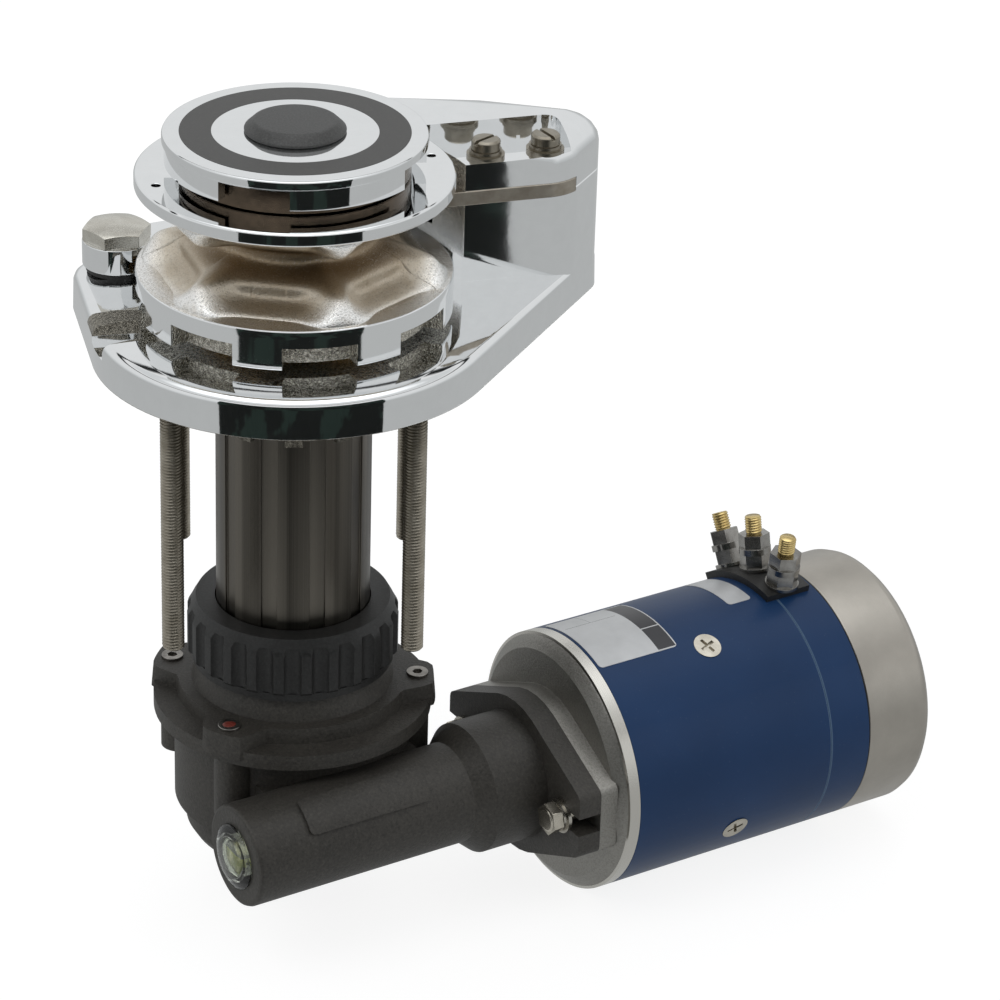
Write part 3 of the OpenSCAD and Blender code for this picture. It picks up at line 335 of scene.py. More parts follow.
def wheel_metal(colour):
    """Chromed sand casting: polished rim, gritty whelps with a painted brown-gold reflection, dull notches.
    """
    f = Finish("cast_chrome", Metallic=1.0)
    radius = f.radius()
    wall = (RIM_R - 0.8) * MM
    rim = radius.above(wall) * f.z.below(RIM_TOP * MM)
    grit = f.noise(1250.0, 4.0, 0.75)
    coarse = f.noise(620.0, 3.0, 0.6)
    blotch = f.noise(75.0, 4.0, 0.6)
    pits = f.cells(900.0).ramp(0.1, 0.45)
    grains = f.cells(1050.0).ramp(0.15, 0.6)
    # The whelps' crests: made near white below, partly as wear and partly as a painted highlight
    worn = radius.ramp(0.056, 0.0645) * (1 - rim)
    # Painted shade: the pockets' floors and the link groove darkened towards the axis
    painted_pocket_shade = 1 - radius.ramp(0.041, 0.056)
    # Brown-gold tint of the whelps: a painted reflection of warm surroundings in the chrome
    whelp_tint_with_painted_light = f.mix(blotch.ramp(0.3, 0.75), (0.8, 0.74, 0.64), (0.62, 0.53, 0.41))
    whelp_tint_with_painted_light = f.mix(painted_pocket_shade, whelp_tint_with_painted_light, (0.36, 0.28, 0.19))
    whelp_tint_with_painted_light = f.mix(worn * blotch.ramp(0.1, 0.5), whelp_tint_with_painted_light, (0.93, 0.92, 0.9))
    whelp_tint_with_painted_light = f.mix((1 - pits) * 0.35, whelp_tint_with_painted_light, (0.25, 0.21, 0.16))
    notch = radius.below(wall) * f.z.below((NOTCH_TOP + 0.5) * MM)
    whelp_tint_with_painted_light = f.mix(grit.ramp(0.56, 0.7) * 0.5, whelp_tint_with_painted_light, (0.9, 0.88, 0.84))
    whelp_tint_with_painted_light = f.mix(notch, whelp_tint_with_painted_light, f.mix(grains * coarse.ramp(0.35, 0.6), (0.78, 0.75, 0.67), (0.3, 0.28, 0.24)))
    rough = blotch * 0.14 + 0.19 + grit * 0.12 - worn * 0.1 - notch * 0.08
    height = grit * 0.8 + pits * 0.25 + blotch * 1.2 - notch * grains * 1.6 + notch * coarse * 2.0
    f.set(Base_Color=f.mix(rim, whelp_tint_with_painted_light, colour), Roughness=rough * (1 - rim) + rim * (blotch * 0.05 + 0.035),
          Normal=f.bump(height * (1 - rim * 0.985), 0.00026))
    return f.material


def brushed(name, colour, dark, rough, scale=260.0, grain=0.00004):
    """Machined metal with fine scratches across its Z axis and patches of tarnish."""
    f = Finish(name, Metallic=1.0)
    lines = f.noise(scale, 5.0, 0.7, stretch=(1.0, 1.0, 9.0))
    patch = f.noise(144.0, 3.0, 0.6)
    f.set(Base_Color=f.mix(patch.ramp(0.3, 0.8), colour, dark), Roughness=lines * 0.2 + (rough - 0.1),
          Normal=f.bump(lines, grain))
    return f.material


def tube_metal(colour):
    """Dark anodised extrusion: streaks that run down the tube, with painted light and shade round its flutes.
    """
    f = Finish("anodised", Metallic=1.0)
    turn = f.angle()
    # Painted light and shade: lighter on each flute's flat and darker in the grooves between
    flute_highlight_and_shade = (turn * 10.0 + 0.9).maths("SINE").ramp(-0.35, 0.1)
    bands = f.streaks(turn, 2.6, 1.0).ramp(0.35, 0.65) * 0.5 + flute_highlight_and_shade * 0.5
    lines = f.streaks(turn, 160.0, 4.0)
    rub = f.noise(60.0, 4.0, 0.6, stretch=(1.0, 1.0, 0.3))
    tint = f.mix(bands, [c * 0.55 for c in colour], [c * 1.6 for c in colour])
    tint = f.mix(lines.ramp(0.45, 0.9) * 0.6, tint, [c * 2.2 for c in colour])
    f.set(Base_Color=tint, Roughness=lines * 0.2 + rub * 0.12 + 0.18, Normal=f.bump(lines, 0.00003))
    return f.material


def grainy_paint(name, colour, rough, grain, depth):
    """Paint or moulded plastic over a grainy skin, with painted highlight and shade on its grain."""
    f = Finish(name)
    skin = f.noise(grain, 4.0, 0.65)
    fine = f.noise(grain * 3.2, 2.0, 0.5)
    cloud = f.noise(28.0, 3.0, 0.5)
    tint = f.mix(cloud.ramp(0.3, 0.75), colour, [c * 1.45 + 0.003 for c in colour])
    # Painted highlight on the raised grain
    tint = f.mix(skin.ramp(0.52, 0.68) * 0.5, tint, [c * 2.3 + 0.006 for c in colour])
    # Painted shade in the hollows of the grain
    tint = f.mix((1 - skin).ramp(0.52, 0.68) * 0.6, tint, [c * 0.4 for c in colour])
    f.set(Base_Color=tint, Roughness=cloud * 0.12 + fine * 0.1 + rough - 0.1,
          Normal=f.bump(skin + fine * 0.3, depth))
    return f.material


def cast_aluminium(colour):
    """Sand-cast aluminium, bright where the lathe has turned the bell's rim."""
    f = Finish("cast_aluminium", Metallic=1.0)
    a = f.along()
    turned = a.above(TURNED_RIM_A)
    grit = f.noise(1100.0, 4.0, 0.7)
    cloud = f.noise(45.0, 3.0, 0.6)
    rings = f.streaks(a, 2600.0, 2.0)
    tint = f.mix(cloud, [c * 0.58 for c in colour], [c * 0.82 for c in colour])
    tint = f.mix(grit.ramp(0.45, 0.62) * 0.5, tint, [c * 0.38 for c in colour])
    tint = f.mix(turned, tint, [min(c * 1.25, 0.9) for c in colour])
    f.set(Base_Color=tint, Roughness=(cloud * 0.15 + 0.36) * (1 - turned * 0.4),
          Normal=f.bump(grit * (1 - turned) * 1.6 + rings * turned * 0.12, 0.00016))
    return f.material


def motor_paint(colour):
    """Deep blue gloss paint with an orange-peel skin and specks of dust."""
    f = Finish("blue_paint", Coat_Roughness=0.14, Specular_IOR_Level=0.22)
    peel = f.noise(260.0, 2.0, 0.4)
    cloud = f.noise(20.0, 3.0, 0.5)
    specks = f.cells(420.0).below(0.045)
    tint = f.mix(cloud.ramp(0.3, 0.75), colour, [c * 1.22 for c in colour])
    tint = f.mix(specks * 0.35, tint, (0.3, 0.36, 0.45))
    place = f.along()
    tint = f.mix((place - SEAM_A).maths("ABSOLUTE").below(0.0006), tint, (0.09, 0.15, 0.24))
    tint = f.mix(place.above(SHELL_END_A - 0.0007), tint, (0.006, 0.008, 0.012))
    f.set(Base_Color=tint, Roughness=cloud * 0.08 + 0.34, Coat_Weight=cloud * 0.06 + 0.03,
          Normal=f.bump(peel, 0.00003))
    return f.material


def cap_metal(colour):
    """Satin turned aluminium: rings round the motor's axis and a few dull blotches."""
    f = Finish("satin_silver", Metallic=1.0)
    rings = f.streaks(f.along(), 2200.0, 3.0)
    blotch = f.noise(38.0, 4.0, 0.6)
    grit = f.noise(700.0, 3.0, 0.6)
    f.set(Base_Color=f.mix(blotch.ramp(0.35, 0.8), colour, [c * 0.82 for c in colour]),
          Roughness=blotch * 0.12 + grit * 0.1 + 0.24, Normal=f.bump(rings * 0.5 + grit, 0.00004))
    return f.material


def inlay_black(colour):
    """Blank black inlay of the clutch nut, with fine turning marks and dust."""
    f = Finish("inlay_black")
    radius = f.radius()
    rings = f.streaks(radius, 3500.0, 2.0)
    dust = f.noise(900.0, 3.0, 0.7)
    tint = f.mix(dust.ramp(0.5, 0.8), colour, [c * 1.9 for c in colour])
    f.set(Base_Color=tint, Roughness=dust * 0.15 + 0.36, Normal=f.bump(rings, 0.00002))
    return f.material


def clear_glass(colour):
    """Moulded clear plastic of the sight glass."""
    f = Finish("sight_glass", Transmission_Weight=1.0, IOR=1.49, Base_Color=colour)
    ripple = f.noise(300.0, 2.0, 0.5)
    f.set(Roughness=ripple * 0.04 + 0.015, Normal=f.bump(ripple, 0.00006))
    return f.material


def gear_oil(colour):
    """Amber-green oil behind the sight glass, darker towards its bottom; painted shade above its level."""
    f = Finish("gear_oil", Coat_Weight=0.8, Roughness=0.12)
    depth = f.z.ramp(-0.219, -0.197)
    swirl = f.noise(160.0, 3.0, 0.5)
    tint = f.mix(depth, [c * 0.2 for c in colour], colour)
    # Painted shade: dark above the oil's level, standing for the empty gearbox behind the glass
    tint = f.mix(f.z.above(OIL_TOP_Z), tint, (0.06, 0.062, 0.055))
    f.set(Base_Color=f.mix(swirl.ramp(0.5, 0.7), tint, (0.6, 0.56, 0.34)))
    return f.material


def bare_plate(name, colour, bands=()):
    """Blank foil plate; each band is a dark bar between two U and two V values."""
    f = Finish(name, Metallic=0.15)
    split = f.add("ShaderNodeSeparateXYZ", Vector=f.out(f.add("ShaderNodeTexCoord"), "UV"))
    u, v = f.out(split, "X"), f.out(split, "Y")
    smudge = f.noise(90.0, 4.0, 0.6)
    tint = f.mix(smudge.ramp(0.3, 0.8), colour, [c * 0.86 for c in colour])
    for u0, u1, v0, v1 in bands:
        tint = f.mix(u.between(u0, u1) * v.between(v0, v1), tint, (0.035, 0.035, 0.04))
    f.set(Base_Color=tint, Roughness=smudge * 0.15 + 0.24, Normal=f.bump(smudge, 0.00003))
    return f.material


def red_paint():
    """Dab of seal paint on one cover screw."""
    f = Finish("seal_paint")
    clot = f.noise(900.0, 3.0, 0.6)
    f.set(Base_Color=f.mix(clot, (0.09, 0.012, 0.008), (0.2, 0.032, 0.02)), Roughness=clot * 0.2 + 0.4,
          Normal=f.bump(clot, 0.0003))
    return f.material


class FinishSettings(bpy.types.PropertyGroup):
    """Colours of the windlass's finishes."""
    chrome: FloatVectorProperty(name="Chrome", description="Colour of the chrome plate", subtype="COLOR",
                                default=(0.83, 0.84, 0.845), min=0, max=1)
    motor: FloatVectorProperty(name="Motor paint", description="Colour of the motor's shell",
                               subtype="COLOR", default=(0.008, 0.033, 0.098), min=0, max=1)
    gearbox: FloatVectorProperty(name="Gearbox paint", description="Colour of the gearbox's paint",
                                 subtype="COLOR", default=(0.029, 0.0265, 0.0225), min=0, max=1)
    tube: FloatVectorProperty(name="Tube", description="Colour of the anodised tube", subtype="COLOR",
                              default=(0.115, 0.105, 0.09), min=0, max=1)
    oil: FloatVectorProperty(name="Oil", description="Colour of the oil behind the sight glass",
                             subtype="COLOR", default=(0.27, 0.28, 0.05), min=0, max=1)


class ThreadSettings(bpy.types.PropertyGroup):
    """Sizes of the threads."""
    stud_pitch: FloatProperty(name="Stud pitch", description="Pitch of the deck studs' thread",
                              unit="LENGTH", default=1.5 * MM, min=1 * MM, max=3 * MM)
    stud_depth: FloatProperty(name="Stud depth", description="Depth of the deck studs' thread",
                              unit="LENGTH", default=0.78 * MM, min=0.2 * MM, max=1.2 * MM)
    terminal_pitch: FloatProperty(name="Terminal pitch", description="Pitch of the terminal studs' thread",
                                  unit="LENGTH", default=1.25 * MM, min=0.8 * MM, max=2 * MM)
    terminal_depth: FloatProperty(name="Terminal depth", description="Depth of the terminal studs' thread",
                                  unit="LENGTH", default=0.5 * MM, min=0.2 * MM, max=1 * MM)


class WheelSettings(bpy.types.PropertyGroup):
    """Shape of the chainwheel's casting."""
    pockets: IntProperty(name="Pockets", description="Number of flat-link pockets", default=6, min=5, max=8)
    notches: IntProperty(name="Notches", description="Number of pawl notches", default=8, min=6, max=10)
    softness: IntProperty(name="Softness", description="How often the cast surface is smoothed", default=24,
                          min=0, max=60)


class StudioSettings(bpy.types.PropertyGroup):
    """Camera and light."""
    lens: FloatProperty(name="Lens", description="Focal length of the camera on a 36 mm sensor",
                        default=146.266, min=20, max=300)
    place: FloatVectorProperty(name="Camera", description="Place of the camera", subtype="TRANSLATION",
                               default=(-0.00069, -1.61812, 0.75805))
    yaw: FloatProperty(name="Yaw", description="Turn of the camera to the left", subtype="ANGLE",
                       default=-0.0575)
    pitch: FloatProperty(name="Pitch", description="Tilt of the camera down", subtype="ANGLE",
                         default=0.4739)
    roll: FloatProperty(name="Roll", description="Roll of the camera", subtype="ANGLE", default=0.0311)
    key: FloatProperty(name="Key light", description="Power of the large soft light", default=9.0, min=0)
    sky: FloatProperty(name="Room light", description="Strength of the light from the white room",
                       default=0.62, min=0)


def material_of(slot):
    """The finish for one material slot of the record, made once."""
    found = bpy.data.materials.get("finish_" + slot)
    if found:
        return found
    colours = bpy.context.scene.windlass_finish
    others = {
        "polished_chrome": (polished_chrome, list(colours.chrome)),
        "cast_chrome": (wheel_metal, list(colours.chrome)),
        "anodised": (tube_metal, list(colours.tube)),
        "black_plastic": (grainy_paint, slot, (0.0115, 0.0115, 0.0112), 0.46, 900.0, 0.00008),
        "black_rubber": (grainy_paint, slot, (0.04, 0.04, 0.039), 0.46, 1200.0, 0.00005),
        "dark_paint": (grainy_paint, slot, list(colours.gearbox), 0.5, 760.0, 0.00022),
        "cast_aluminium": (cast_aluminium, (0.5, 0.485, 0.45)),
        "blue_paint": (motor_paint, list(colours.motor)),
        "satin_silver": (cap_metal, (0.47, 0.44, 0.395)),
        "inlay_black": (inlay_black, (0.042, 0.041, 0.039)),
        "glass": (clear_glass, (0.93, 0.97, 0.88)),
    }
    if slot in BRUSHED:
        material = brushed(slot, *BRUSHED[slot])
    else:
        maker, *values = others[slot]
        material = maker(*values)
    material.name = "finish_" + slot
    return material


def dress(*names):
    """Gives CAD nodes the finish of their slot."""
    for name in names:
        node = NODES[name]
        node.data.materials.clear()
        node.data.materials.append(material_of(SLOT_OF[name]))


def link_object(name, data):
    """Makes an object of some data and links it to the scene."""
    item = bpy.data.objects.new(name, data)
    bpy.context.scene.collection.objects.link(item)
    return item


def add_piece(name, mesh, body, slot, material=None, stands_for=()):
    """Links a finished mesh as a piece that rides on a body."""
    piece = link_object(name, mesh)
    mesh.materials.clear()
    mesh.materials.append(material or material_of(slot))
    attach(piece, body)
    if stands_for:
        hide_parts(*stands_for)
    return piece


def apply_modifiers(piece):
    """Turns a piece's modifiers into its mesh."""
    graph = bpy.context.evaluated_depsgraph_get()
    made = bpy.data.meshes.new_from_object(piece.evaluated_get(graph), depsgraph=graph)
    piece.modifiers.clear()
    piece.data = made


def write_smooth(bm, mesh, sharp=180.0):
    """Writes a bmesh to a mesh: smooth faces, and sharp edges above an angle in degrees."""
    for face in bm.faces:
        face.smooth = True
    for edge in bm.edges:
        edge.smooth = edge.calc_face_angle(0.0) < math.radians(sharp)
    bm.to_mesh(mesh)
    bm.free()
    return mesh


def soften(node, bevel, material=None, segments=2):
    """A merged copy of a CAD node with edges rolled by bevel in mm, standing for the node."""
    sharp = 32.0
    mesh = NODES[node].data.copy()
    for name in ("custom_normal", "sharp_face", "sharp_edge"):
        if name in mesh.attributes:
            mesh.attributes.remove(mesh.attributes[name])
    bm = bmesh.new()
    bm.from_mesh(mesh)
    bmesh.ops.remove_doubles(bm, verts=bm.verts, dist=0.004 * MM)
    bmesh.ops.dissolve_limit(bm, angle_limit=math.radians(0.4), verts=bm.verts, edges=bm.edges)
    piece = link_object("soft_" + node, write_smooth(bm, mesh, sharp))
    edges = piece.modifiers.new("Rolled edges", "BEVEL")
    edges.width = bevel * MM
    edges.segments = segments
    edges.limit_method = "ANGLE"
    edges.angle_limit = math.radians(sharp)
    edges.use_clamp_overlap = True
    edges.miter_outer = "MITER_ARC"
    weights = piece.modifiers.new("Flat faces", "WEIGHTED_NORMAL")
    weights.keep_sharp = True
    apply_modifiers(piece)
    piece.data.materials.clear()
    piece.data.materials.append(material or material_of(SLOT_OF[node]))
    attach(piece, BODY_OF[node])
    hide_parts(node)
    return piece


def lathe(name, profile, place, steps=64):
    """Mesh turned from (radius, height) points in metres; radius 0 closes an end."""
    bm = bmesh.new()
    rows = []
    for r, h in profile:
        if r < 1e-7:
            rows.append([bm.verts.new((0, 0, h))])
        else:
            rows.append([bm.verts.new((r * math.cos(t), r * math.sin(t), h))
                         for t in (2 * math.pi * i / steps for i in range(steps))])
    for low, high in zip(rows, rows[1:]):
        for i in range(steps):
            j = (i + 1) % steps
            corners = []
            for vert in (low[i % len(low)], low[j % len(low)], high[j % len(high)], high[i % len(high)]):
                if vert not in corners:
                    corners.append(vert)
            if len(corners) > 2:
                bm.faces.new(corners)
    bmesh.ops.recalc_face_normals(bm, faces=bm.faces)
    bm.transform(place)
    return write_smooth(bm, bpy.data.meshes.new(name))


def thread_tree():
    """Geometry Nodes tree: a threaded rod on each point of the mesh, along the point's axis."""
    tree = bpy.data.node_groups.new("Threaded rods", "GeometryNodeTree")
    tree.interface.new_socket("Geometry", in_out="INPUT", socket_type="NodeSocketGeometry")
    for name in ("Radius", "Depth", "Pitch", "Length"):
        tree.interface.new_socket(name, in_out="INPUT", socket_type="NodeSocketFloat")
    tree.interface.new_socket("Material", in_out="INPUT", socket_type="NodeSocketMaterial")
    tree.interface.new_socket("Geometry", in_out="OUTPUT", socket_type="NodeSocketGeometry")
    g = Graph(tree)
    inputs = g.add("NodeGroupInput")
    radius, depth, pitch, length = (g.out(inputs, n) for n in ("Radius", "Depth", "Pitch", "Length"))
    rod = g.add("GeometryNodeMeshCylinder", Vertices=28, Side_Segments=length / pitch * 8, Radius=radius,
                Depth=length)
    split = g.add("ShaderNodeSeparateXYZ", Vector=g.out(g.add("GeometryNodeInputPosition"), "Position"))
    x, y, z = (g.out(split, axis) for axis in "XYZ")
    turn = (z / pitch - y.maths("ARCTAN2", x) / (2 * math.pi)).maths("FRACT")
    flank = (turn * 2 - 1).maths("ABSOLUTE").ramp(0.1, 0.85)
    tip = z.maths("ABSOLUTE").ramp(length / 2 - depth, length / 2)
    shrink = 1 - (flank.most(tip)) * (depth / radius)
    point = g.add("ShaderNodeCombineXYZ", X=x * shrink, Y=y * shrink, Z=z)
    threaded = g.add("GeometryNodeSetPosition", Geometry=g.out(rod, "Mesh"), Position=g.out(point, "Vector"))
    smooth = g.add("GeometryNodeSetShadeSmooth", Geometry=g.out(threaded, "Geometry"), Shade_Smooth=True)
    axis = g.add("GeometryNodeInputNamedAttribute", {"data_type": "FLOAT_VECTOR"}, Name="axis")
    turned = g.add("FunctionNodeAlignRotationToVector", {"axis": "Z"}, Vector=g.out(axis, "Attribute"))
    placed = g.add("GeometryNodeInstanceOnPoints", Points=g.out(inputs, "Geometry"),
                   Instance=g.out(smooth, "Geometry"), Rotation=g.out(turned, "Rotation"))
    real = g.add("GeometryNodeRealizeInstances", Geometry=g.out(placed, "Instances"))
    painted = g.add("GeometryNodeSetMaterial", Geometry=g.out(real, "Geometry"),
                    Material=g.out(inputs, "Material"))
    g.add("NodeGroupOutput", Geometry=g.out(painted, "Geometry"))
    return tree


def grow_threads(name, points, axes, sizes, slot, body):
    """Threaded rods centred on points: sizes are Radius, Depth, Pitch and Length in metres."""
    seeds = bpy.data.meshes.new(name)
    seeds.from_pydata([tuple(p) for p in points], [], [])
    attribute = seeds.attributes.new("axis", "FLOAT_VECTOR", "POINT")
    attribute.data.foreach_set("vector", [c for axis in axes for c in axis])
    carrier = link_object(name, seeds)
    tree = bpy.data.node_groups.get("Threaded rods") or thread_tree()
    modifier = carrier.modifiers.new("Threads", "NODES")
    modifier.node_group = tree
    keys = {item.name: item.identifier for item in tree.interface.items_tree if item.in_out == "INPUT"}
    for size, value in sizes.items():
        modifier[keys[size]] = value
    modifier[keys["Material"]] = material_of(slot)
    apply_modifiers(carrier)
    mesh = carrier.data
    bpy.data.objects.remove(carrier)
    return add_piece(name, mesh, body, slot)


def whelp_surface(theta, height, pockets):
    """Radius in mm of the cast chain groove at each angle in degrees and height in mm."""
    low = np.abs(height - GROOVE_Z)
    crest = np.where(low > GROOVE_HALF, CREST_R + 6.6 * np.clip((low - GROOVE_HALF) / 12.5, 0, 1) ** 1.25,
                     GROOVE_R + (CREST_R - GROOVE_R) * np.clip((low - GROOVE_HALF + 1.2) / 1.2, 0, 1))
    step = 360.0 / pockets
    delta = np.radians((theta - POCKET_START + step / 2) % step - step / 2)
    radius = np.full_like(crest, 80.0)
    for r in np.arange(80.0, 34.0, -0.2):
        x = r * np.cos(delta)
        y = np.abs(r * np.sin(delta))
        out = np.clip(x - POCKET_R, 0, None)
        high = POCKET_HALF_HEIGHT + out * 0.15
        long = POCKET_HALF_LENGTH + out * 0.72
        inside = np.hypot(np.clip(y - (long - high), 0, None), low) < high
        radius = np.where(inside & (x > POCKET_R), r, radius)
    return np.minimum(crest, np.where(radius > 79, crest, radius))


def chainwheel_mesh(pockets, notches, softness):
    """Closed mesh of the chainwheel; softness is how often its cast surface is smoothed."""
    turn = 360.0 / notches
    edges = [NOTCH_START + turn * k + s * (NOTCH_HALF_ANGLE + e) for k in range(notches) for s in (-1, 1)
             for e in (-0.06, 0.06)]
    grid = [a for a in np.arange(0, 360, 0.8) if min(abs((a - e + 180) % 360 - 180) for e in edges) > 0.3]
    theta = np.array(sorted(grid + [e % 360 for e in edges]))
    low_rows = [(22.7, RIM_R - 0.5), (23.1, RIM_R - 0.1)]
    low_rows += [(z, RIM_R) for z in (23.6, 26, 29, 32.6, NOTCH_TOP - 0.05, NOTCH_TOP + 0.05, 33.6, 37, 40.2)]
    low_rows += [(40.6, RIM_R - 0.15), (RIM_TOP, RIM_R - 0.45)]
    rows_z = np.array([z for z, _ in low_rows] + list(np.arange(41.2, 79.1, 0.55)))
    count = len(low_rows)
    t_grid, z_grid = np.meshgrid(theta, rows_z)
    field = np.empty_like(t_grid)
    field[count:] = whelp_surface(t_grid[count:], z_grid[count:], pockets)
    smooth = field[count:].copy()
    for _ in range(softness):
        padded = np.vstack([smooth[:1], smooth, smooth[-1:]])
        smooth = 0.25 * (padded[:-2] + padded[2:]) + 0.5 * smooth
        smooth = 0.25 * (np.roll(smooth, 1, 1) + np.roll(smooth, -1, 1)) + 0.5 * smooth
    field[count:] = smooth
    for row, (_, r) in enumerate(low_rows):
        field[row] = r
    near = np.abs((t_grid - NOTCH_START + turn / 2) % turn - turn / 2)
    notch = (near < NOTCH_HALF_ANGLE) & (z_grid < NOTCH_TOP)
    rng = np.random.default_rng(7)
    field = np.where(notch, NOTCH_R + rng.normal(0, 0.12, field.shape), field)
    cosine, sine = np.cos(np.radians(theta)), np.sin(np.radians(theta))
    rows = list(zip(field, rows_z))
    rows += [(68.2, 79.2), (42.6, 79.2), (34.5, 69.5), (16.0, 69.5), (16.0, 46.3), (34.5, 46.3), (42.6, 22.7)]
    rings = [np.column_stack((r * cosine, r * sine, np.full(len(theta), z))) for r, z in rows]
    points = np.vstack(rings) * MM
    n, m = len(theta), len(rings)
    faces = []
    for i in range(m):
        k = (i + 1) % m
        for j in range(n):
            q = (j + 1) % n
            faces.append((i * n + j, i * n + q, k * n + q, k * n + j))
    mesh = bpy.data.meshes.new("chainwheel_casting")
    mesh.from_pydata(points.tolist(), [], faces)
    bm = bmesh.new()
    bm.from_mesh(mesh)
    bmesh.ops.recalc_face_normals(bm, faces=bm.faces)
    return write_smooth(bm, mesh, 38)


def wrapped_plate(name, a0, a1, g0, g1, radius, thickness, corner):
    """Thin plate with round corners bent round the worm's axis, with UVs; all in mm and degrees."""
    rows = 36
    bm = bmesh.new()
    uv = bm.loops.layers.uv.new("UVMap")
    arc = math.radians(g1 - g0) * radius
    inner, outer, coords = [], [], []
    for i in range(rows + 1):
        s = arc * (1 - math.cos(math.pi * i / rows)) / 2
        near = min(s, arc - s)
        inset = corner - math.sqrt(max(corner ** 2 - (corner - near) ** 2, 0)) if near < corner else 0.0
        g = g0 + math.degrees(s / radius)
        line = [(a0 + inset + (a1 - a0 - 2 * inset) * j / 6, g) for j in range(7)]
        inner.append([bm.verts.new(round_axis(a * MM, b, radius * MM)) for a, b in line])
        outer.append([bm.verts.new(round_axis(a * MM, b, (radius + thickness) * MM)) for a, b in line])
        coords.append([((a - a0) / (a1 - a0), s / arc) for a, _ in line])

    def skin(grid, flip):
        for i in range(rows):
            for j in range(6):
                spots = [(i, j), (i, j + 1), (i + 1, j + 1), (i + 1, j)]
                if flip:
                    spots.reverse()
                face = bm.faces.new([grid[p][q] for p, q in spots])
                for loop, (p, q) in zip(face.loops, spots):
                    loop[uv].uv = coords[p][q]

    skin(outer, False)
    skin(inner, True)
    rim = [(0, j) for j in range(7)] + [(i, 6) for i in range(1, rows + 1)]
    rim += [(rows, j) for j in range(5, -1, -1)] + [(i, 0) for i in range(rows - 1, 0, -1)]
    for (i, j), (p, q) in zip(rim, rim[1:] + rim[:1]):
        face = bm.faces.new([inner[i][j], inner[p][q], outer[p][q], outer[i][j]])
        for loop, (k, m) in zip(face.loops, ((i, j), (p, q), (p, q), (i, j))):
            loop[uv].uv = coords[k][m]
    bmesh.ops.recalc_face_normals(bm, faces=bm.faces)
    return write_smooth(bm, bpy.data.meshes.new(name), 40)


